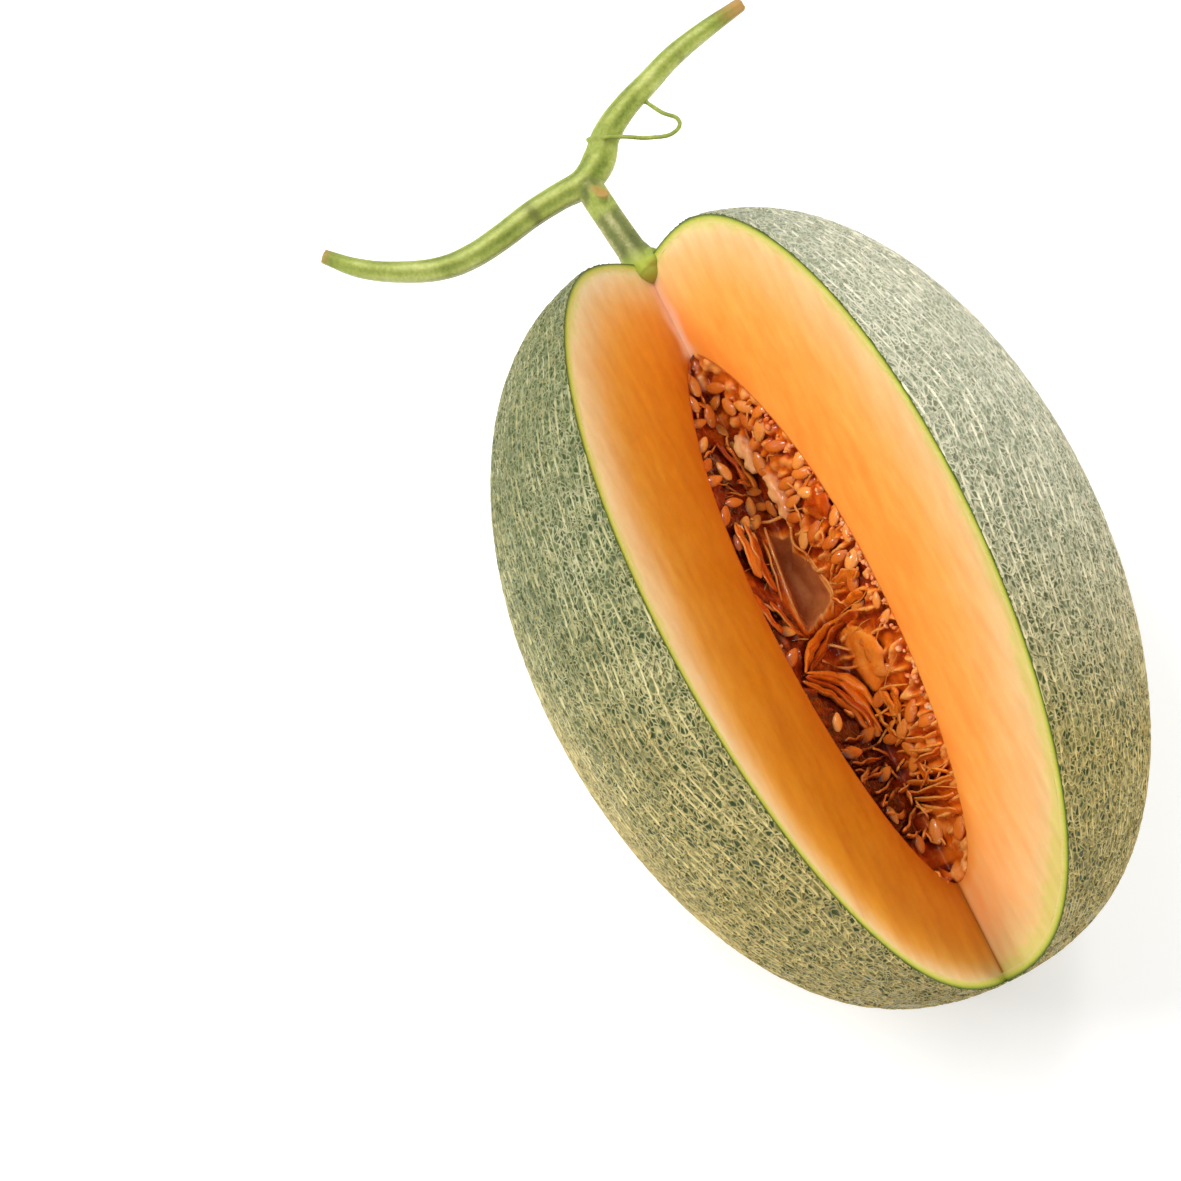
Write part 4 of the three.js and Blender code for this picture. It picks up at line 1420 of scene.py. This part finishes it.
membranes = {
    "thickness": 0.0007,
    "waver": 0.0010,
    "dip": 0.0020,
    "tuck": 0.0024,
    "steps": (18, 9),
    # wide skins: the two long edges, as places across, behind the cut walls and along, then the
    # swell and the number of strips
    "skins": [
        ([(-0.0128, 0.0016, -0.0186), (-0.0072, 0.0020, -0.0108), (0.0004, 0.0014, -0.0064),
          (0.0060, 0.0012, -0.0074)],
         [(-0.0120, 0.0050, -0.0206), (-0.0044, 0.0060, -0.0156), (0.0016, 0.0050, -0.0102),
          (0.0064, 0.0040, -0.0098)],
         0.0006, 2),
        ([(-0.0118, 0.0018, -0.0194), (-0.0022, 0.0026, -0.0222), (0.0022, 0.0026, -0.0300),
          (0.0026, 0.0024, -0.0412)],
         [(-0.0142, 0.0034, -0.0222), (-0.0088, 0.0050, -0.0286), (-0.0056, 0.0056, -0.0356),
          (-0.0026, 0.0044, -0.0438)],
         0.0010, 4),
        ([(0.0004, 0.0046, -0.0098), (0.0016, 0.0052, -0.0200), (0.0020, 0.0046, -0.0302)],
         [(0.0084, 0.0022, -0.0116), (0.0104, 0.0018, -0.0222), (0.0074, 0.0024, -0.0330)],
         0.0012, 1),
        ([(0.0160, 0.0004, 0.0276), (0.0158, 0.0004, 0.0225), (0.0148, 0.0004, 0.0172)],
         [(0.0112, 0.0030, 0.0272), (0.0088, 0.0036, 0.0250), (0.0104, 0.0030, 0.0190)],
         0.0014, 1),
        ([(0.0036, 0.0028, -0.0312), (0.0046, 0.0030, -0.0370), (0.0040, 0.0034, -0.0440)],
         [(0.0092, 0.0012, -0.0322), (0.0088, 0.0016, -0.0360), (0.0064, 0.0024, -0.0420)],
         0.0008, 2),
        ([(-0.0060, 0.0030, 0.0560), (-0.0030, 0.0026, 0.0480), (-0.0036, 0.0028, 0.0400)],
         [(-0.0010, 0.0036, 0.0550), (0.0002, 0.0040, 0.0470), (0.0006, 0.0040, 0.0390)],
         0.0008, 2),
    ],
    # standing folds: the crest, and how far the foot lies across, in and along from it
    "folds": [
        ([(0.0140, 0.0008, 0.0156), (0.0112, 0.0016, 0.0130), (0.0080, 0.0030, 0.0102)],
         (0.0000, 0.0030, -0.0026)),
        ([(0.0142, 0.0008, 0.0010), (0.0100, 0.0016, 0.0028), (0.0060, 0.0034, 0.0032)],
         (0.0004, 0.0034, -0.0034)),
        ([(0.0126, 0.0008, -0.0046), (0.0092, 0.0014, -0.0042), (0.0062, 0.0032, -0.0046)],
         (0.0002, 0.0034, -0.0026)),
        ([(0.0090, 0.0008, -0.0092), (0.0056, 0.0016, -0.0078), (0.0022, 0.0034, -0.0072)],
         (0.0000, 0.0036, -0.0022)),
        ([(-0.0122, 0.0022, 0.0290), (-0.0124, 0.0020, 0.0200), (-0.0128, 0.0022, 0.0105)],
         (0.0022, 0.0040, 0.0000)),
        ([(-0.0092, 0.0026, 0.0300), (-0.0100, 0.0024, 0.0190), (-0.0104, 0.0028, 0.0060)],
         (0.0020, 0.0042, -0.0004)),
        ([(-0.0046, 0.0040, 0.0256), (-0.0066, 0.0036, 0.0140), (-0.0086, 0.0038, 0.0020)],
         (-0.0018, 0.0046, 0.0000)),
        ([(-0.0164, 0.0014, 0.0062), (-0.0158, 0.0014, 0.0000), (-0.0146, 0.0018, -0.0074)],
         (0.0022, 0.0036, 0.0000)),
        ([(-0.0134, 0.0024, 0.0034), (-0.0114, 0.0026, -0.0030), (-0.0088, 0.0034, -0.0092)],
         (0.0020, 0.0044, -0.0004)),
        ([(-0.0110, 0.0026, -0.0404), (-0.0070, 0.0034, -0.0412), (-0.0036, 0.0050, -0.0404)],
         (0.0000, 0.0034, -0.0018)),
        ([(-0.0124, 0.0022, -0.0500), (-0.0080, 0.0028, -0.0520), (-0.0030, 0.0040, -0.0510)],
         (0.0000, 0.0040, -0.0020)),
    ],
    # folds that fan out at the blossom end: first and last crest, right edge to middle
    "fan": ([(0.0137, 0.0006, -0.0500), (0.0080, 0.0016, -0.0486), (0.0012, 0.0036, -0.0474)],
            [(0.0096, 0.0006, -0.0724), (0.0052, 0.0020, -0.0698), (-0.0020, 0.0040, -0.0640)]),
    "fanFolds": 8,
    "leftFan": ([(-0.0130, 0.0016, -0.0430), (-0.0080, 0.0030, -0.0448), (-0.0025, 0.0050, -0.0440)],
                [(-0.0078, 0.0014, -0.0745), (-0.0046, 0.0026, -0.0738), (-0.0010, 0.0044, -0.0705)]),
    "leftFanFolds": 8,
    "scraps": 30,
    "lowScraps": 14,
    "amber": (240, 126, 20),
    "red": (186, 70, 8),
    "lit": (252, 168, 70),
    # painted highlight along the lit crests of the folds
    "rim": (246, 160, 76),
}


def smoothRoute(points, t):
    # a point on a smooth curve through the given points, with t from 0 to 1
    place = min(max(t, 0.0), 1.0) * (len(points) - 1)
    k = min(int(place), len(points) - 2)
    u = place - k
    before, low = points[max(k - 1, 0)], points[k]
    high, after = points[k + 1], points[min(k + 2, len(points) - 1)]
    bend = (high - before) * 0.5
    leave = (after - low) * 0.5
    return (low * (2 * u ** 3 - 3 * u * u + 1) + bend * (u ** 3 - 2 * u * u + u)
            + high * (3 * u * u - 2 * u ** 3) + leave * (u ** 3 - u * u))


def addSkin(first, second, swell, rng, steps=None, tuck=0.0):
    # a thin wet sheet between two edges, swelling towards the opening, with wavering rims
    across, along = steps or membranes["steps"]
    bpy.ops.mesh.primitive_grid_add(x_subdivisions=across, y_subdivisions=along, size=1)
    sheet = bpy.context.object
    flat = readPoints(sheet) + 0.5
    start, base = rng.uniform(0, 40), rng.uniform(0.15, 0.85)
    places, rim, tone = [], [], []
    for u, v, _ in flat:
        ends = max(math.sin(math.pi * u), 0)
        spread = 0.5 + (v - 0.5) * ends ** 0.3 * (1 + 0.35 * noise.noise(Vector((u * 6, start, 0))))
        spot = smoothRoute(first, u).lerp(smoothRoute(second, u), spread)
        lift = swell * math.sin(math.pi * v) * (0.3 + 0.7 * ends) - membranes["dip"] * (1 - ends) ** 2
        lift -= tuck * abs(2 * v - 1) ** 3
        waver = noise.noise_vector((spot + Vector((start, 0, 0))) * 240) * membranes["waver"]
        waver += noise.noise_vector((spot + Vector((0, start, 0))) * 620) * membranes["waver"] * 0.4
        places.append(spot + waver - Vector((0, lift, 0)))
        # the rim mark paints a highlight along the lit crest of a fold
        rim.append(0 if tuck else max(1 - v / 0.22, 0) * ends)
        tone.append(base + 0.55 * noise.noise(Vector((u * 2.5, v * 9, start))))
    writePoints(sheet, places)
    writeAttribute(sheet, "rim", rim)
    writeAttribute(sheet, "shade", tone)
    applyModifier(sheet, "SOLIDIFY", thickness=membranes["thickness"], offset=0)
    applyModifier(sheet, "SUBSURF", levels=1, render_levels=1)
    return sheet


def makeMembranes():
    rng = random.Random(27)
    parts = []
    for first, second, swell, strips in membranes["skins"]:
        pairs = [(valleySpot(*p), valleySpot(*q)) for p, q in zip(first, second)]
        for number in range(strips):
            near, far = [[a.lerp(b, share / strips) for a, b in pairs] for share in (number, number + 1)]
            parts.append(addSkin(near, far, swell, rng, tuck=membranes["tuck"] / strips ** 0.5))
    folds = list(membranes["folds"])
    for name, count in (("fan", membranes["fanFolds"]), ("leftFan", membranes["leftFanFolds"])):
        first, last = membranes[name]
        for number in range(count):
            t = number / (count - 1)
            skew = rng.uniform(-1, 1) * 0.0022
            crest = [[a + (b - a) * t + rng.uniform(-1, 1) * 0.0008 for a, b in zip(p, q)]
                     for p, q in zip(first, last)]
            crest[0][2] += skew
            crest[2][2] -= skew
            crest[2][0] += rng.uniform(-0.5, 1) * 0.0030
            folds.append((crest, (0.0, rng.uniform(0.0036, 0.0054), rng.uniform(-0.0022, -0.0004))))
    spans = [((-0.062, 0.072), (0.1, 0.85))] * membranes["scraps"]
    spans += [((-0.080, -0.038), (0.0, 0.3))] * membranes["lowScraps"]
    for along, across in spans:
        z = rng.uniform(*along)
        side = rng.choice((-1, 1))
        reach = float(cavityRadiusAt(z)) * math.sin(melon["notchHalfAngle"])
        x = rng.uniform(*across) * reach
        if mouthGap(np.array((side * x, 0, z)))[0] < 0.003:
            continue
        size = rng.uniform(0.0018, 0.0042)
        turn = rng.gauss(0.3, 0.9)
        dx, dz = size * math.sin(turn), size * math.cos(turn)
        crest = [(side * x - dx, rng.uniform(0.0018, 0.0036), z - dz),
                 (side * x, rng.uniform(0.0014, 0.0028), z),
                 (side * x + dx, rng.uniform(0.0018, 0.0036), z + dz)]
        folds.append((crest, (rng.uniform(-1, 1) * 0.0012, 0.0028, rng.uniform(-1, 1) * 0.0012)))
    for crest, (across, into, along) in folds:
        spots = [valleySpot(*p) for p in crest]
        feet = [spot + Vector((across, into, along)) for spot in spots]
        parts.append(addSkin(spots, feet, 0.0004, rng, (14, 5)))
    joined = joinInto(parts, "pulp_membranes")
    smoothShade(joined)
    return joined


def makeMembraneMaterial():
    material, tree, shader, place = newMaterial("wet_membrane")
    streaks = drawnOut(tree, -1100, -100, place, 0.3)
    mixed = blended(tree, -600, 200, 0.4, readMark(tree, "shade", 0.0, 1.0, -1100, 300),
                    mottleAt(tree, -900, streaks, 170.0, 800.0, 0.4))
    skin = ramped(tree, -400, 300, mixed, [
        (0.28, membranes["red"]), (0.56, membranes["amber"]), (0.92, membranes["lit"])])
    # painted highlight along the lit crests
    rim = readMark(tree, "rim", 0.0, 1.0, -1100, 600)
    rimmed = mixColours(tree, -100, 300, rim, skin, colour(*membranes["rim"]))
    dressShader(tree, shader, {
        # painted shade in the deep gaps
        "Base Color": paintGapShade(tree, 100, 300, rimmed, 0.08, 0.58),
        "Roughness": dampAt(tree, place, 320.0, 0.14, 0.45),
        "Subsurface Weight": 0.4,
        "Subsurface Radius": (1.0, 0.35, 0.08),
        "Subsurface Scale": 0.0012,
        "Coat Weight": 0.35,
        "Coat Roughness": 0.06,
    }, (mixed, 0.8, 0.0005))
    return material


beads = {
    # where they gather: side, place along the melon, spread, and distance in from the rim
    "clusters": [(1, 0.024, 0.007, 0.0040), (1, 0.006, 0.007, 0.0020), (1, -0.010, 0.006, 0.0022),
                 (1, -0.034, 0.008, 0.0030), (-1, 0.060, 0.007, 0.0022), (-1, 0.004, 0.020, 0.0020),
                 (1, 0.046, 0.009, 0.0050), (-1, -0.040, 0.014, 0.0030)],
    "perCluster": 22,
    "radius": 0.00078,
    # the pale juice colour partly paints the glints of the wet drops
    "juice": (250, 182, 128),
    "juiceDeep": (226, 110, 36),
}


def scatterBeads():
    # drops of clear juice and burst sacs, thickest along the right edge
    rng = random.Random(33)
    model = addBall(8, 6)
    copies = []
    for side, place, spread, inward in beads["clusters"]:
        along, into = wallFrame(side)
        top = topOf(side)
        for _ in range(beads["perCluster"]):
            z = rng.gauss(place, spread)
            d = float(cavityRadiusAt(z)) - abs(rng.gauss(0, inward)) - 0.0006
            spot = along * d + into * (top + rng.uniform(0.0002, 0.0018)) + Vector((0, 0, z))
            if mouthGap(spot)[0] < 0.002:
                continue
            size = [beads["radius"] * rng.uniform(0.5, 1.5) for _ in range(3)]
            bead = copyMesh(model)
            spin = Euler([rng.uniform(0, 3) for _ in range(3)]).to_matrix().to_4x4()
            bead.data.transform(Matrix.Translation(spot) @ spin @ Matrix.Diagonal((*size, 1)))
            copies.append(bead)
    bpy.data.objects.remove(model)
    joined = joinInto(copies, "juice_beads")
    smoothShade(joined)
    return joined


def makeBeadMaterial():
    material, tree, shader, place = newMaterial("juice")
    mottle = mottleAt(tree, -1000, place, 260.0, 1200.0, 0.4)
    body = ramped(tree, -400, 300, mottle, [(0.38, beads["juiceDeep"]), (0.62, beads["juice"])])
    dressShader(tree, shader, {
        # painted shade in the deep gaps
        "Base Color": paintGapShade(tree, -100, 200, body, 0.1, 0.6),
        "Roughness": dampAt(tree, place, 500.0, 0.06, 0.2),
        "Subsurface Weight": 0.6,
        "Subsurface Radius": (1.0, 0.5, 0.25),
        "Subsurface Scale": 0.0015,
        "Coat Weight": 1.0,
        "Coat Roughness": 0.05,
    })
    return material


def makeStrandMaterial():
    material, tree, shader, place = newMaterial("pulp_fibre")
    mottle = mottleAt(tree, -1000, place, 120.0, 900.0, 0.3)
    body = ramped(tree, -400, 300, mottle, [(0.35, strands["deep"]), (0.62, strands["pale"])])
    dressShader(tree, shader, {
        # painted shade in the deep gaps
        "Base Color": paintGapShade(tree, -100, 200, body, 0.1, 0.6),
        "Roughness": dampAt(tree, place, 300.0, 0.10, 0.35),
        "Subsurface Weight": 0.5,
        "Subsurface Radius": (1.0, 0.4, 0.15),
        "Subsurface Scale": 0.002,
        "Coat Weight": 0.8,
        "Coat Roughness": 0.08,
    }, (mottle, 0.4, 0.0003))
    return material


stem = {
    "ribs": 5,
    "ribDepth": 0.08,
    "stalkRadius": 0.0043,
    "collarFlare": 0.0022,
    "vineRadius": 0.0041,
    "vineTip": 0.0022,
    "stubRadius": 0.0027,
    "tendrilRadius": 0.00075,
    "stalkRoute": [(0, 0, 0.1150), (-0.0015, -0.001, 0.124), (-0.003, -0.002, 0.135),
                   (-0.0045, -0.003, 0.148)],
    "vineRoute": [(-0.0875, -0.0105, 0.1635), (-0.079, -0.008, 0.1555), (-0.0665, -0.0055, 0.1485),
                  (-0.0555, -0.004, 0.1448), (-0.0465, -0.0035, 0.1442), (-0.0365, -0.003, 0.1455),
                  (-0.0235, -0.0035, 0.1478), (-0.0135, -0.0035, 0.1488), (-0.005, -0.003, 0.1495),
                  (0.002, -0.003, 0.1535), (0.0075, -0.004, 0.1595), (0.0165, -0.0045, 0.165),
                  (0.026, -0.004, 0.169), (0.036, -0.004, 0.173), (0.047, -0.0035, 0.176),
                  (0.0635, -0.002, 0.1795)],
    "stubRoute": [(-0.0045, -0.002, 0.1390), (-0.0030, -0.0052, 0.1405), (-0.0016, -0.0080, 0.1420)],
    # lumps of the collar where the stalk meets the melon, with their sizes
    "collarLumps": [((0.0004, -0.0010, 0.1150), 0.0056), ((0.0046, -0.0006, 0.1152), 0.0036),
                    ((-0.0036, -0.0022, 0.1152), 0.0032), ((0.0022, -0.0050, 0.1160), 0.0030),
                    ((0.0050, 0.0036, 0.1146), 0.0034), ((-0.0020, 0.0044, 0.1140), 0.0034),
                    ((0.0030, -0.0030, 0.1190), 0.0026)],
    "tendrilRoute": [(0.0225, -0.004, 0.165), (0.026, -0.0035, 0.1585), (0.0295, -0.0035, 0.1535),
                     (0.027, -0.0045, 0.1505), (0.019, -0.0065, 0.1515), (0.0115, -0.0085, 0.155),
                     (0.0055, -0.0085, 0.158), (0.0015, -0.005, 0.161)],
    "voxel": 0.0004,
    # dark joints along the vine
    "joints": (0.40, 0.88),
    "green": (150, 160, 70),
    "deepGreen": (80, 102, 20),
    "paleGreen": (204, 208, 132),
    "stalkGreen": (116, 122, 62),
    "stalkDeep": (76, 84, 34),
    "stalkPale": (184, 178, 124),
    "collar": (156, 168, 62),
    "jointDark": (84, 84, 34),
    "brown": (170, 134, 72),
}


def makeRibProfile():
    bpy.ops.mesh.primitive_circle_add(vertices=40, radius=1)
    ring = bpy.context.object
    points = readPoints(ring)
    around = np.arctan2(points[:, 1], points[:, 0])
    points *= (1 + stem["ribDepth"] * np.cos(stem["ribs"] * around))[:, None]
    writePoints(ring, points)
    pick(ring)
    bpy.ops.object.convert(target="CURVE")
    return bpy.context.object


def humpAt(gap, width):
    return math.exp(-((gap / width) ** 2))


def vineSizeAt(t):
    # thinner towards both tips, with a swelling where the stalk branches off
    tip, full = stem["vineTip"], stem["vineRadius"]
    swelling = 0.0011 * humpAt(t - 0.6, 0.07)
    return tip + (full - tip) * max(math.sin(math.pi * t), 0) ** 0.6 + swelling


def stalkSizeAt(t):
    return stem["stalkRadius"] + stem["collarFlare"] * humpAt(t, 0.2)


def makeStem():
    profile = makeRibProfile()
    parts = [
        addLimb(stem[name], [sizeAt(t) for t in np.linspace(0, 1, len(stem[name]))], profile=profile)
        for name, sizeAt in (("stalkRoute", stalkSizeAt), ("vineRoute", vineSizeAt))
    ]
    parts += [
        addLimb(stem["stubRoute"], [stem["stubRadius"] - 0.0006 * k / 2 for k in range(3)], 12),
        addLimb(stem["tendrilRoute"], [stem["tendrilRadius"]] * len(stem["tendrilRoute"]), 8),
    ]
    for spot, size in stem["collarLumps"]:
        bpy.ops.mesh.primitive_uv_sphere_add(segments=20, ring_count=12, radius=size, location=spot)
        lump = bpy.context.object
        lump.scale = (1, 1, 0.72)
        bpy.ops.object.transform_apply(location=True, rotation=True, scale=True)
        parts.append(lump)
    bpy.data.objects.remove(profile)
    piece = joinInto(parts, "cut_stem")
    applyModifier(piece, "REMESH", mode="VOXEL", voxel_size=stem["voxel"])
    applyModifier(piece, "SMOOTH", factor=0.5, iterations=3)
    markStem(piece)
    smoothShade(piece)
    return piece


def soften(obj, values, rounds):
    # blends values held on points with those of their neighbours
    edges = np.array([edge.vertices[:] for edge in obj.data.edges])
    count = np.bincount(edges.ravel(), minlength=len(values)) + 1.0
    for _ in range(rounds):
        total = values.copy()
        np.add.at(total, edges[:, 0], values[edges[:, 1]])
        np.add.at(total, edges[:, 1], values[edges[:, 0]])
        values = total / count
    return values


def markStem(piece):
    # ribs, joints and dried ends, from where each point lies along its own limb
    steps = np.linspace(0, 1, 240)
    tree, entries = KDTree(4 * len(steps)), []
    for number, name in enumerate(("vineRoute", "stalkRoute", "stubRoute", "tendrilRoute")):
        route = [Vector(spot) for spot in stem[name]]
        for t in steps:
            tree.insert(smoothRoute(route, t), len(entries))
            entries.append((number, t))
    tree.balance()
    ribs, joints, dried, stalks = [], [], [], []
    for point in readPoints(piece):
        _, index, away = tree.find(Vector(point))
        number, t = entries[index]
        size = (vineSizeAt(t), stalkSizeAt(t), stem["stubRadius"], stem["tendrilRadius"])[number]
        whole = max(0.0, 1 - abs(away / size - 1) / 0.3) if number < 2 else 0
        ribs.append(whole * min(max((away / size - 1) / stem["ribDepth"], -1), 1))
        ring = max([humpAt(t - place, 0.006) for place in stem["joints"]]) if number == 0 else 0
        joints.append(ring * (0.6 + 0.9 * noise.noise(Vector(point) * 190)))
        ends = {0: max(humpAt(t, 0.02) * 0.7, humpAt(1 - t, 0.035)), 2: humpAt(1 - t, 0.16)}
        dried.append(ends.get(number, 0))
        stalks.append(1.0 if number == 1 else 0.0)
    for name, values in (("rib", ribs), ("joint", joints), ("dried", dried), ("stalk", stalks)):
        writeAttribute(piece, name, soften(piece, np.array(values, float), 14))


def makeStemMaterial():
    material, tree, shader, place = newMaterial("green_stem")
    mottle = mottleAt(tree, -1000, place, 60.0, 900.0, 0.35)
    mixed = blended(tree, -600, 200, 0.68, readMark(tree, "rib", -1.0, 1.0, -1100, 300), mottle)
    vine = ramped(tree, -400, 300, mixed, [
        (0.30, stem["deepGreen"]), (0.5, stem["green"]), (0.70, stem["paleGreen"])])
    stalk = ramped(tree, -400, 0, mixed, [
        (0.34, stem["stalkDeep"]), (0.52, stem["stalkGreen"]), (0.68, stem["stalkPale"])])
    skin = mixColours(tree, 0, 200, readMark(tree, "stalk", 0.0, 1.0, -600, 600), vine, stalk)
    # the collar by the melon is fresh green
    parts = put(tree, "ShaderNodeSeparateXYZ", -900, -400)
    tree.links.new(place, parts.inputs["Vector"])
    shares = ((spanned(tree, -700, -400, parts.outputs["Z"], 0.1225, 0.1165), "collar"),
              (readMark(tree, "joint", 0.0, 1.0, -600, 800), "jointDark"),
              (readMark(tree, "dried", 0.2, 0.8, -600, 1000), "brown"))
    for number, (share, shade) in enumerate(shares):
        skin = mixColours(tree, 100 + 100 * number, 200, share, skin, colour(*stem[shade]))
    dressShader(tree, shader, {
        "Base Color": skin,
        "Roughness": 0.5,
        "Subsurface Weight": 0.1,
        "Subsurface Scale": 0.001,
    }, (mottle, 0.4, 0.0003))
    return material


studio = {
    "floorSize": 4.0,
    "floorShade": (250, 250, 250),
    "floorGlow": 0.17,
    "cameraPlace": (-0.1604, -0.1727, 0.6230),
    "cameraTilt": math.radians(24.0),
    "cameraTurn": math.radians(-25.25),
    "lens": 61.03,
    "worldLight": 0.42,
    # direction as (right, up, towards the camera), distance, size, watts, and whether it shows
    # as sheen
    "lights": {
        "key": ((-0.70, 0.35, 0.62), 1.2, 0.80, 9.8, False),
        "top": ((0.30, 0.90, 0.30), 1.2, 0.70, 2.4, False),
        "side": ((0.95, 0.20, 0.20), 1.2, 0.60, 7.5, False),
        "glint": ((-0.40, 0.50, 0.75), 1.1, 0.17, 1.7, True),
        "glintTop": ((0.15, 0.80, 0.60), 1.1, 0.17, 1.5, True),
        "glintLeft": ((-0.80, 0.05, 0.60), 1.1, 0.17, 1.5, True),
        "glintLow": ((-0.10, -0.35, 0.95), 1.1, 0.15, 0.9, True),
    },
    "aim": (0.0, 0.012, 0.085),
}


def makeFloor():
    bpy.ops.mesh.primitive_plane_add(size=studio["floorSize"], location=(0, 0, 0))
    floor = bpy.context.object
    floor.name = "studio_floor"
    material = bpy.data.materials.new("pale_paper")
    material.use_nodes = True
    tree = material.node_tree
    shader = tree.nodes["Principled BSDF"]
    grain = put(tree, "ShaderNodeTexNoise", -500, 0, {"Scale": 40.0, "Detail": 3.0})
    shade = studio["floorShade"]
    stops = [(0.3, tuple(v - 2 for v in shade)), (0.7, shade)]
    dressShader(tree, shader, {
        "Base Color": ramped(tree, -300, 0, grain.outputs["Fac"], stops),
        "Roughness": 0.9,
        "Emission Color": (1.0, 1.0, 1.0, 1.0),
        "Emission Strength": studio["floorGlow"],
    })
    floor.data.materials.append(material)


def makeCamera():
    turn = Euler((studio["cameraTilt"], 0, studio["cameraTurn"]))
    bpy.ops.object.camera_add(location=studio["cameraPlace"], rotation=turn)
    camera = bpy.context.object
    camera.data.lens = studio["lens"]
    camera.data.sensor_width = 36
    bpy.context.scene.camera = camera
    return turn.to_matrix()


def makeLights(view):
    aim = Vector(studio["aim"])
    for name, (way, distance, size, power, sheen) in studio["lights"].items():
        direction = view @ Vector(way).normalized()
        bpy.ops.object.light_add(type="AREA", location=aim + direction * distance)
        light = bpy.context.object
        light.name = name + "_light"
        light.data.shape = "DISK"
        light.data.size = size
        light.data.energy = power
        light.visible_glossy = sheen
        light.rotation_euler = direction.to_track_quat("Z", "Y").to_euler()
    world = bpy.data.worlds.new("studio_air")
    bpy.context.scene.world = world
    world.use_nodes = True
    air = world.node_tree.nodes["Background"]
    air.inputs["Color"].default_value = (1.0, 1.0, 1.0, 1.0)
    air.inputs["Strength"].default_value = studio["worldLight"]
    bpy.context.scene.view_settings.view_transform = "Standard"


makeFloor()
view = makeCamera()
makeLights(view)
print("stage ready")

notchTool = makeNotchTool()
rindSkin = makeRind(notchTool)
bpy.data.objects.remove(notchTool)
finishPiece(rindSkin, makeRindMaterial(), "rind")
print("rind ready")

fleshBody = makeFlesh()
markCore(fleshBody)
finishPiece(fleshBody, makeFleshMaterial(), "flesh")
print("flesh ready")

pulpMass = shapePulp(*makePulpMass())
seedPiece = scatterSeeds()
strandPiece = makeStrands()
membranePiece = makeMembranes()
beadPiece = scatterBeads()
markPaintedLight((pulpMass, seedPiece, strandPiece, membranePiece, beadPiece))
finishPiece(pulpMass, makePulpMaterial(), "seed_pulp")
for piece, makeMaterial in ((seedPiece, makeSeedMaterial), (strandPiece, makeStrandMaterial),
                            (membranePiece, makeMembraneMaterial), (beadPiece, makeBeadMaterial)):
    finishPiece(piece, makeMaterial())
print("pulp ready")

stemPiece = makeStem()
finishPiece(stemPiece, makeStemMaterial(), "stem")
print("stem ready")

clearSelection()
pieces = (rindSkin, fleshBody, pulpMass, seedPiece, strandPiece, membranePiece, beadPiece, stemPiece)
for piece in pieces:
    piece.data.calc_loop_triangles()
    print(piece.name, len(piece.data.loop_triangles), "triangles")
